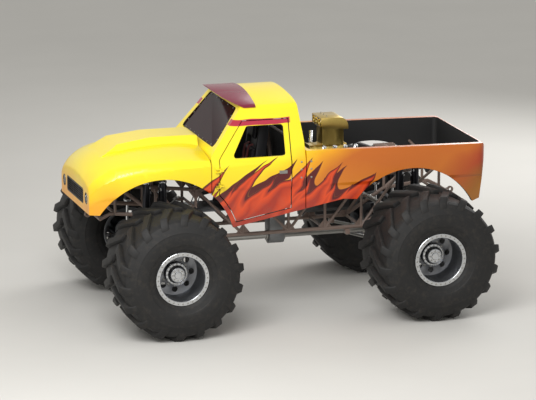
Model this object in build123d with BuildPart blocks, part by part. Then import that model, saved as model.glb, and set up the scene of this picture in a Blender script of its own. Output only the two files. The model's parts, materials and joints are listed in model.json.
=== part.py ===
import os
from math import atan2, cos, radians, sin

from build123d import *

# Monster truck: a moulded pickup body on a tube chassis, four huge tyres, planetary axles steered
# at both ends, four-link suspension, and a supercharged engine open to view behind the cab.
# Frame: millimetres, +X forward, +Y to the left, +Z up. The origin is on the ground under the
# middle of the truck.

# Overall sizes and the clearances that all pieces share
wheelbase = 3500.0
overall_width = 3810.0
tyre_diameter = 1676.0
tyre_width = 1092.0
rim_diameter = 635.0
rim_width = 914.0
running_gap = 0.06
pivot_gap = 0.5
seat_gap = 0.3

# Tyre: a carcass of flats, and a row of slanting lugs on each half of the tread
carcass_sides = 18
bulge_ratio = 0.66
tread_half_width = 430.0
side_land = 8.0
lug_count = 18
lug_width = 104.0
lug_height = 48.0
lug_inner_y = 12.0
lug_edge_y = 425.0
lug_outer_y = 515.0
lug_drop = 120.0
lug_root = 250.0
hollow_sides = 12
hollow_half_width = 415.0
hollow_radius = 690.0

# Wheel and planetary hub, places measured outwards from the middle of the tyre
rim_wall = 20.0
rim_flange = 25.0
rim_flange_width = 14.0
disc_offset = 60.0
disc_thickness = 30.0
hub_radius = 150.0
hub_cap_radius = 118.0
hub_cap_depth = 60.0
hub_outer_reach = 250.0
hub_inner_reach = 340.0
disc_hole_count = 8
disc_hole_radius = 38.0
disc_hole_circle = 222.0

# Steering knuckle and the axle's yoke, places measured from the kingpin
kingpin_inset = 559.0
kingpin_radius = 28.0
knuckle_height = 249.0
knuckle_depth = 110.0
knuckle_width = 105.0
spindle_radius = 70.0
spindle_reach = 405.0
yoke_arm = 45.0
yoke_depth = 120.0
yoke_back = 145.0
yoke_mouth = 85.0
yoke_end = 65.0
steering_arm = 300.0
arm_width = 50.0
arm_height = 40.0
eye_radius = 35.0
eye_pin_radius = 12.0
tie_rod_diameter = 48.0
tie_eye_height = 30.0
tie_eye_neck = 60.0

# Axle housing
axle_tube_diameter = 180.0
differential_radius = 230.0
differential_half_width = 300.0
pinion_diameter = 156.0
pinion_reach = 430.0
pinion_rise = 42.0

# Steering cylinder
ram_diameter = 76.0
ram_rod_diameter = 32.0
ram_offset_x = 290.0
ram_rise = 72.0
ram_back_y = -430.0
ram_head_y = 20.0
ram_wall = 30.0
ram_eye_y = 360.0
ram_rod_inner_y = -200.0
ram_eye_height = 40.0
ram_plate = 24.0

# Chassis tubes
side_y = 340.0
rail_diameter = 50.0
brace_diameter = 38.0
belly_z = 1000.0
waist_z = 1650.0
belly_half_length = 1150.0
kick_x = 1700.0
kick_z = 1340.0
end_x = 2250.0
end_low_z = 1400.0
end_high_z = 1780.0
rear_post_x = -640.0
middle_post_x = -130.0
seat_post_x = 500.0
floor_tube_z = 1310.0
upper_link_tube_z = 1400.0
shock_bar_z = 1900.0
bumper_x = 2450.0
bumper_drop = 60.0

# Suspension
link_diameter = 46.0
link_eye_radius = 32.0
link_eye_width = 60.0
ear_thickness = 10.0
lower_link = ((950.0, side_y, 928.0), (1625.0, 450.0, 735.0))
upper_link = ((1215.0, 265.0, upper_link_tube_z), (1690.0, 175.0, 1125.0))
shock_y = 480.0
shock_spread = 125.0
shock_lean = 15.0
shock_low_z = 985.0
shock_high_z = 1885.0
shock_body_diameter = 96.0
shock_rod_diameter = 38.0
shock_rod_length = 380.0
shock_neck = 50.0
shock_collar = 34.0
shock_collar_rise = 6.0

# Engine and drive line
crank_z = 1400.0
engine_rear_x = -1030.0
engine_front_x = -450.0
engine_mount_z = 1350.0
head_half_width = 290.0
valley_half_width = 120.0
valley_rise = 355.0
port_rise = 320.0
cover_width = 92.0
cover_height = 62.0
gearbox_end_x = middle_post_x - 20.0
drop_box_end_x = 60.0
drop_box_top_radius = 130.0
drop_box_low_radius = 110.0
shaft_diameter = 90.0
shaft_flange_diameter = 140.0
shaft_flange_thickness = 25.0
blower_low_z = 1830.0
blower_high_z = 2090.0
blower_width = 300.0
blower_rib = 14.0
blower_rib_count = 7
belt_gap = 19.0
belt_width = 76.0
belt_thickness = 8.0
crank_pulley_radius = 95.0
blower_pulley_radius = 78.0
hat_half_width = 200.0
hat_top_z = 2470.0
hat_setback = 80.0
throttle_radius = 52.0
throttle_pitch = 122.0
header_diameter = 56.0
header_elbow_z = 1765.0
header_top_z = 2160.0

# Body shell
wall = 24.0
door_thickness = 32.0
glass_thickness = 8.0
panel_gap = 12.0
lower_half_width = 930.0
upper_half_width = 955.0
crease_z = 1740.0
crease_half = 20.0
belt_z = 2085.0
shoulder_z = 2155.0
shoulder_half_width = 922.0
roof_edge_z = 2800.0
roof_half_width = 715.0
roof_z = 2930.0
cowl_z = 2200.0
cab_front_x = 1100.0
cab_rear_x = -180.0
body_floor_z = 900.0
sill_x = 800.0
sill_z = 1250.0
sill_slope = 0.187
front_arch_radius = 980.0
front_arch_z = 970.0
nose_lip_z = 1500.0
bulge_half_width = 330.0
bulge_top_z = 2375.0
visor_thickness = 14.0
visor_root_x = 440.0
visor_tip_x = 880.0
visor_cheek_x = 600.0
visor_low_z = 2790.0
lamp_radius = 78.0
lamp_y = 585.0
lamp_z = 1690.0
lamp_rim = 14.0
lamp_depth = 90.0
lens_depth = 10.0
grille_half_width = 440.0
grille_low_z = 1585.0
grille_high_z = 1790.0
grille_depth = 40.0
grille_bars = 6
rear_arch_x = -1660.0
rear_arch_z = 920.0
rear_arch_radius = 968.0
bed_wall = 60.0
chassis_gate_y = 400.0
chassis_gate_z = 1760.0
bed_front_z = 2215.0
bed_tail_z = 2165.0
bed_sill_end_x = -705.0
tail_x = -2700.0
tail_lean = 90.0
tail_low_z = 1420.0
tail_radius = 130.0
door_rear_x = 20.0
door_sill = 70.0
hinge_offset = 14.0
hinge_pin_radius = 6.0
hinge_radius = 12.0

# Worked out from the sizes above
wheel_radius = tyre_diameter / 2
rim_radius = rim_diameter / 2
half_base = wheelbase / 2
wheel_y = overall_width / 2 - tyre_width / 2
kingpin_y = wheel_y - kingpin_inset
spindle_end_y = kingpin_y + spindle_reach
yoke_back_y = kingpin_y - yoke_back
rail_radius = rail_diameter / 2
brace_radius = brace_diameter / 2
front_hub = Vector(half_base, wheel_y, wheel_radius)
arm_x = half_base + steering_arm
tie_eye_z = wheel_radius - arm_height / 2 - pivot_gap - tie_eye_height / 2
ram_x = half_base + ram_offset_x
ram_z = wheel_radius + ram_rise
yoke_reach = knuckle_height / 2 + pivot_gap + yoke_arm
shaft_z = wheel_radius + pinion_rise
door_front_x = cab_front_x - 112.0
lug_pitch = 360.0 / lug_count
lug_plane = wheel_radius * cos(radians(lug_pitch / 2))
lug_run = 2 * wheel_radius * sin(radians(lug_pitch / 2)) - lug_width
carcass_radius = lug_plane - lug_height

os.makedirs("parts", exist_ok=True)


def bar(start, end, diameter, mode=Mode.ADD):
    """A straight round bar between two points, in the part that is being made."""
    start, end = Vector(*start), Vector(*end)
    with BuildSketch(Plane(origin=start, z_dir=end - start)) as section:
        Circle(diameter / 2)
    extrude(section.sketch, amount=(end - start).length, mode=mode)


def bent_bar(points, diameter):
    """A round bar through several points, with mitred corners."""
    with BuildLine() as path:
        Polyline(*points)
    first = Vector(*points[1]) - Vector(*points[0])
    with BuildSketch(Plane(origin=points[0], z_dir=first)) as section:
        Circle(diameter / 2)
    sweep(section.sketch, path=path.line, transition=Transition.RIGHT)


def block(low, high, mode=Mode.ADD):
    """A box between its lowest and highest corners."""
    size = [b - a for a, b in zip(low, high)]
    centre = [(a + b) / 2 for a, b in zip(low, high)]
    with Locations(Location(centre)):
        Box(*size, mode=mode)


def ears(eye, low, high):
    """Two plates beside an eye. low and high are their corners in X and Z, from the eye."""
    for side in (-1, 1):
        near = eye[1] + side * (link_eye_width / 2 + seat_gap)
        far = near + side * ear_thickness
        block(
            (eye[0] + low[0], min(near, far), eye[2] + low[1]),
            (eye[0] + high[0], max(near, far), eye[2] + high[1]),
        )


def cross_eye(centre, radius=link_eye_radius):
    """An eye across the truck, as at the end of a link."""
    half = Vector(0, link_eye_width / 2, 0)
    bar(Vector(*centre) - half, Vector(*centre) + half, radius * 2)


def save(name, part):
    """Labels a finished piece and writes its file."""
    part.label = name
    export_step(part, f"parts/{name}.step")


def save_both_ends(name, part):
    """Writes a front piece and its copy at the rear, mirrored about the middle of the truck."""
    save(f"{name}_front", part)
    save(f"{name}_rear", mirror(part, about=Plane.YZ))


# Tyres: bands between polygons set across the tyre, then the lugs, whose far corners touch the ground
tyre_profile = [  # distance from the middle of the tyre, radius over the flats
    (tyre_width / 2, wheel_radius * bulge_ratio),
    (tread_half_width, carcass_radius),
]
tyre_dish = [
    (rim_width / 2 - 4, rim_radius + rim_flange + 4),
    (tyre_width / 2 + 1, wheel_radius * bulge_ratio - side_land),
]


def bands(rows):
    """The solid between polygons across the tyre, each given by its place and radius over the flats."""
    rings = []
    for y, radius in rows:
        turns = [radians((number + 0.5) * 360 / carcass_sides) for number in range(carcass_sides)]
        reach = radius / cos(radians(180 / carcass_sides))
        rings.append([front_hub + Vector(reach * sin(turn), y, reach * cos(turn)) for turn in turns])
    faces = [Face(Wire.make_polygon(ring)) for ring in (rings[0], rings[-1])]
    for near, far in zip(rings, rings[1:]):
        for number in range(carcass_sides):
            corners = [near[number - 1], near[number], far[number], far[number - 1]]
            faces.append(Face(Wire.make_polygon(corners)))
    return Solid(Shell(faces))


def lug(half):
    """A lug on top of the tyre, on its outer half for 1 and on its inner half for -1."""
    slope = lug_run / (lug_edge_y - lug_inner_y)
    end_run = lug_run / 2 + slope * (lug_outer_y - lug_edge_y)
    top = front_hub + Vector(0, 0, lug_plane)
    with BuildPart() as form:
        with BuildSketch(Plane(origin=top)):
            with BuildLine():
                Polyline(
                    (-lug_run / 2 - lug_width / 2, half * lug_inner_y),
                    (-lug_run / 2 + lug_width / 2, half * lug_inner_y),
                    (end_run + lug_width / 2, half * lug_outer_y),
                    (end_run - lug_width / 2, half * lug_outer_y),
                    close=True,
                )
            make_face()
        extrude(amount=-lug_root)
        with BuildSketch(Plane(origin=top, x_dir=(0, 1, 0), z_dir=(1, 0, 0))):
            with BuildLine():
                Polyline(
                    (half * lug_edge_y, 0),
                    (half * (lug_outer_y + 1), 0),
                    (half * (lug_outer_y + 1), -lug_drop),
                    close=True,
                )
            make_face()
        extrude(amount=wheel_radius, both=True, mode=Mode.SUBTRACT)
    return form.part


with BuildPart() as tyre:
    add(bands([(-y, radius) for y, radius in tyre_profile] + tyre_profile[::-1]))
    add(bands(tyre_dish), mode=Mode.SUBTRACT)
    add(bands([(-y, radius) for y, radius in tyre_dish]), mode=Mode.SUBTRACT)
    for half, first_turn in ((1, 0.5), (-1, 0.0)):
        shape = Pos(-front_hub) * lug(half)
        for number in range(lug_count):
            add(Pos(front_hub) * Rot(0, (number + first_turn) * lug_pitch, 0) * shape)
    for radius, half_width in ((hollow_radius, hollow_half_width), (rim_radius + seat_gap, tyre_width)):
        with BuildSketch(Plane(origin=front_hub, z_dir=(0, 1, 0))):
            RegularPolygon(radius, hollow_sides, major_radius=False, rotation=180 / hollow_sides)
        extrude(amount=half_width, both=True, mode=Mode.SUBTRACT)

# Wheels: barrel, flanges, disc and planetary hub turned in one profile, with the spindle's bore
barrel_inner = rim_radius - rim_wall
flange_y = rim_width / 2 + rim_flange_width
hub_bore = spindle_radius + running_gap
hub_bore_end = spindle_end_y + 5 - wheel_y
with BuildPart() as wheel:
    with BuildSketch(Plane(origin=front_hub, x_dir=(0, 1, 0), z_dir=(1, 0, 0))):
        with BuildLine():
            Polyline(
                (-flange_y, barrel_inner),
                (-flange_y, rim_radius + rim_flange),
                (-rim_width / 2, rim_radius + rim_flange),
                (-rim_width / 2, rim_radius),
                (rim_width / 2, rim_radius),
                (rim_width / 2, rim_radius + rim_flange),
                (flange_y, rim_radius + rim_flange),
                (flange_y, barrel_inner),
                (disc_offset + disc_thickness, barrel_inner),
                (disc_offset + disc_thickness, hub_radius),
                (hub_outer_reach - hub_cap_depth, hub_radius),
                (hub_outer_reach - hub_cap_depth, hub_cap_radius),
                (hub_outer_reach, hub_cap_radius - 20),
                (hub_outer_reach, 0),
                (hub_bore_end, 0),
                (hub_bore_end, hub_bore),
                (-hub_inner_reach, hub_bore),
                (-hub_inner_reach, hub_radius),
                (disc_offset, hub_radius),
                (disc_offset, barrel_inner),
                close=True,
            )
        make_face()
    revolve(axis=Axis(front_hub, (0, 1, 0)))
    with BuildSketch(Plane(origin=front_hub + Vector(0, disc_offset, 0), z_dir=(0, 1, 0))):
        with PolarLocations(disc_hole_circle, disc_hole_count):
            Circle(disc_hole_radius)
    extrude(amount=disc_thickness, mode=Mode.SUBTRACT)

# Steering knuckles: body between the yoke's arms, two kingpins, spindle, and the steering arm
with BuildPart() as knuckle:
    block(
        (half_base - knuckle_depth / 2, kingpin_y - knuckle_width / 2, wheel_radius - knuckle_height / 2),
        (half_base + knuckle_depth / 2, kingpin_y + knuckle_width / 2, wheel_radius + knuckle_height / 2),
    )
    with Locations((half_base, kingpin_y, wheel_radius)):
        Cylinder(kingpin_radius, yoke_reach * 2)
    bar((half_base, kingpin_y, wheel_radius), (half_base, spindle_end_y, wheel_radius), spindle_radius * 2)
    block(
        (half_base, kingpin_y - arm_width / 2, wheel_radius - arm_height / 2),
        (arm_x, kingpin_y + arm_width / 2, wheel_radius + arm_height / 2),
    )
    with Locations((arm_x, kingpin_y, wheel_radius)):
        Cylinder(eye_radius, arm_height)
    pin_length = arm_height / 2 + pivot_gap + tie_eye_height
    with Locations((arm_x, kingpin_y, wheel_radius - pin_length / 2)):
        Cylinder(eye_pin_radius, pin_length)

# The four corners: each piece is copied back to the rear axle and mirrored to the right
for piece_name, piece, turned in (
    ("tyre", tyre.part, False),
    ("wheel", wheel.part, False),
    ("knuckle", knuckle.part, True),
):
    rear_piece = mirror(piece, about=Plane.YZ) if turned else Pos(-wheelbase, 0, 0) * piece
    for end, end_piece in (("front", piece), ("rear", rear_piece)):
        save(f"{piece_name}_{end}_left", end_piece)
        save(f"{piece_name}_{end}_right", mirror(end_piece, about=Plane.XZ))

# Tie rods: a bar between the two steering arms, an eye on each arm's pin, and the cylinder's lug
lug_top = ram_z - ram_eye_height / 2 - pivot_gap
with BuildPart() as tie_rod:
    tube_y = kingpin_y - tie_eye_neck
    bar((arm_x, -tube_y, tie_eye_z), (arm_x, tube_y, tie_eye_z), tie_rod_diameter)
    for side in (-1, 1):
        low, high = sorted((side * (tube_y - 10), side * kingpin_y))
        block(
            (arm_x - arm_width / 3, low, tie_eye_z - tie_eye_height / 2),
            (arm_x + arm_width / 3, high, tie_eye_z + tie_eye_height / 2),
        )
        with Locations((arm_x, side * kingpin_y, tie_eye_z)):
            Cylinder(eye_radius, tie_eye_height)
            Cylinder(eye_pin_radius + running_gap, tie_eye_height + 2, mode=Mode.SUBTRACT)
    block((arm_x - 26, ram_eye_y - 26, tie_eye_z), (arm_x + 26, ram_eye_y + 26, lug_top))
save_both_ends("tie_rod", tie_rod.part)

# Steering cylinders: the rod slides in its barrel on the axle, its eye over the tie rod's lug
with BuildPart() as ram_rod:
    bar((ram_x, ram_rod_inner_y, ram_z), (ram_x, ram_eye_y, ram_z), ram_rod_diameter)
    with Locations((ram_x, ram_eye_y, ram_z)):
        Cylinder(eye_radius, ram_eye_height)
save_both_ends("steering_rod", ram_rod.part)

# Axles: tube, differential and pinion nose, yokes, and the brackets of links, shocks and cylinder
with BuildPart() as axle:
    yoke_start = yoke_back_y + 20
    bar((half_base, -yoke_start, wheel_radius), (half_base, yoke_start, wheel_radius), axle_tube_diameter)
    with BuildSketch(Plane(origin=(half_base, 0, wheel_radius), x_dir=(0, 1, 0), z_dir=(1, 0, 0))):
        with BuildLine():
            Polyline(
                (-differential_half_width, 0),
                (-differential_half_width, axle_tube_diameter / 2 + 25),
                (-differential_half_width / 2, differential_radius),
                (differential_half_width / 2, differential_radius),
                (differential_half_width, axle_tube_diameter / 2 + 25),
                (differential_half_width, 0),
                close=True,
            )
        make_face()
    revolve(axis=Axis((half_base, 0, wheel_radius), (0, 1, 0)))
    bar((half_base, 0, shaft_z), (half_base - pinion_reach, 0, shaft_z), pinion_diameter)
    for side in (-1, 1):
        low, high = sorted((side * yoke_back_y, side * (kingpin_y + yoke_end)))
        block(
            (half_base - yoke_depth / 2, low, wheel_radius - yoke_reach),
            (half_base + yoke_depth / 2, high, wheel_radius + yoke_reach),
        )
        low, high = sorted((side * (kingpin_y - yoke_mouth), side * (kingpin_y + yoke_end + 1)))
        block(
            (half_base - yoke_depth, low, wheel_radius - yoke_reach + yoke_arm),
            (half_base + yoke_depth, high, wheel_radius + yoke_reach - yoke_arm),
            mode=Mode.SUBTRACT,
        )
        with Locations((half_base, side * kingpin_y, wheel_radius)):
            Cylinder(kingpin_radius + running_gap, yoke_reach * 2 + 2, mode=Mode.SUBTRACT)
        x, y, z = lower_link[1]
        ears((x, side * y, z), (-link_eye_radius, -20), (half_base - x + 30, 70))
        x, y, z = upper_link[1]
        ears((x, side * y, z), (-link_eye_radius, -130), (link_eye_radius + 60, 26))
        shock_half = shock_spread + 30
        ears((half_base, side * shock_y, shock_low_z), (-shock_half, -110), (shock_half, 22))
    for plate_y in (ram_back_y + 30, ram_head_y - 55):
        block(
            (half_base, plate_y - ram_plate / 2, ram_z - 24),
            (ram_x, plate_y + ram_plate / 2, ram_z + 24),
        )
    bar((ram_x, ram_back_y, ram_z), (ram_x, ram_head_y, ram_z), ram_diameter)
    bar(
        (ram_x, ram_back_y + ram_wall, ram_z),
        (ram_x, ram_head_y + 1, ram_z),
        ram_rod_diameter + 2 * running_gap,
        mode=Mode.SUBTRACT,
    )
save_both_ends("axle", axle.part)

# Links: four to each axle, each a tube with an eye at both ends
with BuildPart() as links:
    for frame_end, axle_end in (lower_link, upper_link):
        for side in (-1, 1):
            ends = [Vector(x, side * y, z) for x, y, z in (frame_end, axle_end)]
            bar(ends[0], ends[1], link_diameter)
            for end in ends:
                cross_eye(end)
save_both_ends("links", links.part)

# Shock absorbers: two to each wheel, gas body above and polished rod below
with BuildPart() as shocks:
    for side in (-1, 1):
        for way in (-1, 1):
            foot = Vector(half_base + way * shock_spread, side * shock_y, shock_low_z)
            head = Vector(half_base + way * (shock_spread - shock_lean), side * shock_y, shock_high_z)
            direction = (head - foot).normalized()
            bar(foot, head, shock_rod_diameter)
            bar(foot + direction * shock_rod_length, head - direction * shock_neck, shock_body_diameter)
            for along in (shock_rod_length, (head - foot).length - shock_neck - shock_collar):
                collar = foot + direction * along
                bar(collar, collar + direction * shock_collar, shock_body_diameter + 2 * shock_collar_rise)
            cross_eye(foot)
            cross_eye(head)
save_both_ends("shocks", shocks.part)

# Chassis: two side trusses, cross tubes, shock bars, bumpers and tow eyes
low_line = [(-end_x, end_low_z), (-kick_x, kick_z), (-belly_half_length, belly_z)]
low_line += [(-x, z) for x, z in reversed(low_line)]
high_line = [(-end_x, end_high_z), (-belly_half_length, waist_z)]
high_line += [(-x, z) for x, z in reversed(high_line)]
post_x = [-end_x, -kick_x, -belly_half_length, rear_post_x, middle_post_x]
post_x += [seat_post_x, belly_half_length, kick_x, end_x]
waist_lean = atan2(end_high_z - waist_z, end_x - belly_half_length)


def height_on(line, x):
    """The height of a rail at a place along the truck."""
    for (x0, z0), (x1, z1) in zip(line, line[1:]):
        if x0 <= x <= x1:
            return z0 + (z1 - z0) * (x - x0) / (x1 - x0)
    raise ValueError("no rail there")


with BuildPart() as side_truss:
    for line in (low_line, high_line):
        bent_bar([(x, side_y, z) for x, z in line], rail_diameter)
    for x in post_x:
        bar((x, side_y, height_on(low_line, x)), (x, side_y, height_on(high_line, x)), brace_diameter)
    for x0, x1 in zip(post_x, post_x[1:]):
        foot_x, head_x = (x0, x1) if x1 > middle_post_x else (x1, x0)
        foot = (foot_x, side_y, height_on(low_line, foot_x))
        bar(foot, (head_x, side_y, height_on(high_line, head_x)), brace_diameter)
    for way in (-1, 1):
        x, y, z = lower_link[0]
        ears((way * x, y, z), (-link_eye_radius, -20), (link_eye_radius, link_eye_radius + 15))
        saddle = link_eye_width / 2 + seat_gap + ear_thickness
        block(
            (way * x - link_eye_radius, y - saddle, z + link_eye_radius + 5),
            (way * x + link_eye_radius, y + saddle, z + link_eye_radius + 15),
        )
        block(
            (way * x - link_eye_radius, y - brace_radius / 2, z + link_eye_radius + 5),
            (way * x + link_eye_radius, y + brace_radius / 2, belly_z),
        )
save("frame_side_left", side_truss.part)
save("frame_side_right", mirror(side_truss.part, about=Plane.XZ))

cross_tubes = [  # place along the truck, height, radius of the tube that it meets
    (end_x, end_low_z, rail_radius),
    (end_x, end_high_z, rail_radius),
    (belly_half_length, belly_z, rail_radius),
    (belly_half_length, upper_link_tube_z, brace_radius),
    (belly_half_length, waist_z, rail_radius),
    (belly_half_length, floor_tube_z, brace_radius),
    (seat_post_x, floor_tube_z, brace_radius),
    (middle_post_x, waist_z, rail_radius),
    (rear_post_x, belly_z, rail_radius),
    (-belly_half_length, belly_z, rail_radius),
    (-belly_half_length, upper_link_tube_z, brace_radius),
    (-belly_half_length, waist_z, rail_radius),
    (-end_x, end_low_z, rail_radius),
    (-end_x, end_high_z, rail_radius),
]
with BuildPart() as cross_set:
    for x, z, meets in cross_tubes:
        tube_end = side_y - meets - seat_gap
        bar((x, -tube_end, z), (x, tube_end, z), brace_diameter)
    for way in (-1, 1):
        for side in (-1, 1):
            x, y, z = upper_link[0]
            inward = -way * (x - belly_half_length)
            low, high = sorted((inward, way * link_eye_radius))
            ears((way * x, side * y, z), (low, -16), (high, 16))
save("frame_cross_tubes", cross_set.part)

with BuildPart() as shock_bars:
    foot_z = height_on(high_line, half_base + brace_radius) + rail_radius / cos(waist_lean) + seat_gap
    for way in (-1, 1):
        x = way * half_base
        bar((x, -shock_y - 45, shock_bar_z), (x, shock_y + 45, shock_bar_z), rail_diameter)
        for side in (-1, 1):
            bar((x, side * side_y, foot_z), (x, side * side_y, shock_bar_z), brace_diameter)
            eye = (x, side * shock_y, shock_high_z)
            ears(eye, (-shock_spread - 20, -18), (shock_spread + 20, 38))
save("shock_bars", shock_bars.part)

with BuildPart() as bumpers:
    start_x = end_x + brace_radius + seat_gap
    bumper_z = end_low_z - bumper_drop
    for way in (-1, 1):
        half_bar = [(start_x, end_low_z), (start_x + 60, end_low_z), (bumper_x, bumper_z)]
        points = [(way * x, side_y, z) for x, z in half_bar]
        points += [(x, -y, z) for x, y, z in reversed(points)]
        bent_bar(points, rail_diameter)
save("bumpers", bumpers.part)

tow_plate = 25.0
tow_outer_radius = 44.0
tow_hole_radius = 20.0
tow_neck = 60.0
tow_x = bumper_x + rail_radius + seat_gap + tow_neck
with BuildPart() as tow_eyes:
    for way in (-1, 1):
        centre = (way * tow_x, tow_plate / 2, bumper_z)
        with BuildSketch(Plane(origin=centre, x_dir=(way, 0, 0), z_dir=(0, -1, 0))):
            Circle(tow_outer_radius)
            with Locations((-tow_neck / 2, 0)):
                Rectangle(tow_neck, tow_outer_radius)
            Circle(tow_hole_radius, mode=Mode.SUBTRACT)
        extrude(amount=tow_plate)
save("tow_eyes", tow_eyes.part)

# Body shell: one cross-section runs through the cab and the bed, and the nose tapers from it
body_side = [  # half width, height
    (lower_half_width, body_floor_z),
    (lower_half_width, crease_z - crease_half),
    (upper_half_width, crease_z + crease_half),
    (upper_half_width, belt_z),
    (shoulder_half_width, shoulder_z),
    (roof_half_width, roof_edge_z),
]
cab_outline = [  # place along the truck, height
    (cab_front_x, body_floor_z),
    (cab_front_x, cowl_z),
    (cab_front_x - 15, cowl_z + 25),
    (600, 2860),
    (520, 2975),
    (-60, 2975),
    (-120, 2850),
    (cab_rear_x, 2330),
    (cab_rear_x, body_floor_z),
]


def sill_height(x):
    """The height of the body's lower edge at a place along the truck."""
    return sill_z + sill_slope * (sill_x - x)


def cab_section(inset):
    """The cab's outline from the front, or the one that lies inside it by the inset."""
    with BuildSketch() as section:
        with BuildLine():
            Polyline(*body_side)
            Polyline(*[(-y, z) for y, z in body_side])
            ThreePointArc(body_side[-1], (0, roof_z), (-roof_half_width, roof_edge_z))
            Line(body_side[0], (-lower_half_width, body_floor_z))
        make_face()
        fillet(section.vertices().filter_by(lambda v: abs(v.Y - roof_edge_z) < 1), 90)
        if inset:
            offset(amount=-inset, kind=Kind.INTERSECTION)
    return section.sketch


def cab_form(inset):
    """The cab's outer form, or the form that lies inside it by the inset."""
    with BuildPart() as form:
        with BuildSketch(Plane.XZ):
            with BuildLine() as outline:
                Polyline(*cab_outline, close=True)
            make_face()
            if inset:
                offset(amount=-inset, kind=Kind.INTERSECTION)
        extrude(amount=upper_half_width * 2, both=True)
        with BuildSketch(Plane.YZ):
            add(cab_section(inset))
        extrude(amount=wheelbase, both=True, mode=Mode.INTERSECT)
    return form.part


def door_outline(grow):
    """The door's outline from the side, grown by the gap where it is the door's opening."""
    with BuildSketch(Plane.XZ) as outline:
        with BuildLine():
            Polyline(
                (door_rear_x, sill_height(door_rear_x) + door_sill),
                (door_rear_x, 2620),
                (640, 2620),
                (door_front_x - 40, 2210),
                (door_front_x, 2150),
                (door_front_x, sill_height(door_front_x) + door_sill),
                close=True,
            )
        make_face()
        with Locations((half_base, front_arch_z)):
            Circle(front_arch_radius + door_sill, mode=Mode.SUBTRACT)
        if grow:
            offset(amount=grow, kind=Kind.INTERSECTION)
    return outline.sketch


def arch(x, z, radius):
    """A wheel arch, cut right across the body."""
    with BuildSketch(Plane.XZ) as outline:
        with Locations((x, z)):
            Circle(radius)
    extrude(outline.sketch, amount=upper_half_width * 2, both=True, mode=Mode.SUBTRACT)


window_outline = [(door_rear_x + 70, 2160), (820, 2160), (590, 2560), (door_rear_x + 70, 2560)]
with BuildPart() as side_window:
    with BuildSketch(Plane.XZ) as outline:
        with BuildLine():
            Polyline(*window_outline, close=True)
        make_face()
        fillet(outline.vertices(), 40)
    extrude(amount=upper_half_width * 2, both=True)
with BuildPart() as screen:
    with BuildSketch(Plane.YZ.offset(300)) as outline:
        with BuildLine():
            Polyline((-770, 2290), (-610, 2770), (610, 2770), (770, 2290), close=True)
        make_face()
        fillet(outline.vertices(), 60)
    extrude(amount=900)
with BuildPart() as screen_glass:
    with BuildSketch(Plane.YZ.offset(300)) as outline:
        with BuildLine():
            Polyline((-770, 2290), (-610, 2770), (610, 2770), (770, 2290), close=True)
        make_face()
        fillet(outline.vertices(), 60)
        offset(amount=-seat_gap)
    extrude(amount=900)

hinge_x = door_front_x + panel_gap / 2
hinge_y = upper_half_width + hinge_offset
hinge_heights = (crease_z + 80, belt_z - 60)
cab_outer = cab_form(0)
cab_inner = cab_form(wall)
with BuildPart() as cab:
    add(cab_outer)
    add(cab_inner, mode=Mode.SUBTRACT)
    block(
        (cab_front_x - wall - 1, wall - lower_half_width, body_floor_z - 1),
        (cab_front_x + 1, lower_half_width - wall, cowl_z - 2 * wall),
        mode=Mode.SUBTRACT,
    )
    with BuildSketch(Plane.XZ):
        with BuildLine():
            Polyline(
                (cab_rear_x - 1, body_floor_z - 1),
                (cab_rear_x - 1, sill_height(cab_rear_x - 1)),
                (cab_front_x + 1, sill_height(cab_front_x + 1)),
                (cab_front_x + 1, body_floor_z - 1),
                close=True,
            )
        make_face()
    extrude(amount=upper_half_width * 2, both=True, mode=Mode.SUBTRACT)
    arch(half_base, front_arch_z, front_arch_radius)
    extrude(door_outline(panel_gap), amount=upper_half_width * 2, both=True, mode=Mode.SUBTRACT)
    add(screen.part, mode=Mode.SUBTRACT)
    block((cab_rear_x - 50, -540, 2370), (0, 540, 2740), mode=Mode.SUBTRACT)
    block(
        (cab_rear_x - 1, -chassis_gate_y, body_floor_z),
        (cab_rear_x + wall + 1, chassis_gate_y, chassis_gate_z),
        mode=Mode.SUBTRACT,
    )
    for side in (-1, 1):
        for z in hinge_heights:
            for rise in (-20, 20):
                low, high = sorted((side * (upper_half_width - 5), side * (hinge_y + hinge_radius)))
                block((hinge_x, low, z + rise - 6), (hinge_x + 60, high, z + rise + 6))
                with Locations((hinge_x, side * hinge_y, z + rise)):
                    Cylinder(hinge_radius, 12)
            with Locations((hinge_x, side * hinge_y, z)):
                Cylinder(hinge_pin_radius, 40)
save("cab", cab.part)

with BuildPart() as door:
    add(cab_outer)
    add(cab_form(door_thickness), mode=Mode.SUBTRACT)
    extrude(door_outline(0), amount=-upper_half_width * 2, mode=Mode.INTERSECT)
    add(side_window.part, mode=Mode.SUBTRACT)
    for z in hinge_heights:
        block(
            (hinge_x - 50, upper_half_width - 5, z - 13.5),
            (hinge_x, hinge_y + hinge_radius, z + 13.5),
        )
        with Locations((hinge_x, hinge_y, z)):
            Cylinder(hinge_radius, 27)
            Cylinder(hinge_pin_radius + running_gap, 28, mode=Mode.SUBTRACT)
save("door_left", door.part)
save("door_right", mirror(door.part, about=Plane.XZ))

with BuildPart() as windshield:
    add(cab_form(glass_thickness))
    add(cab_form(glass_thickness * 2), mode=Mode.SUBTRACT)
    add(screen_glass.part, mode=Mode.INTERSECT)
save("windshield", windshield.part)

clip_sections = [  # place, lower, upper and shoulder half widths, crease, belt, shoulder, crown heights
    (cab_front_x + panel_gap, 930, 955, 905, 1740, 2080, 2150, 2255),
    (1800, 925, 945, 880, 1740, 2070, 2150, 2290),
    (2300, 880, 895, 820, 1720, 2010, 2100, 2225),
    (2560, 820, 830, 750, 1690, 1900, 1990, 2100),
    (-tail_x, 745, 750, 680, 1600, 1760, 1840, 1925),
]


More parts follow.
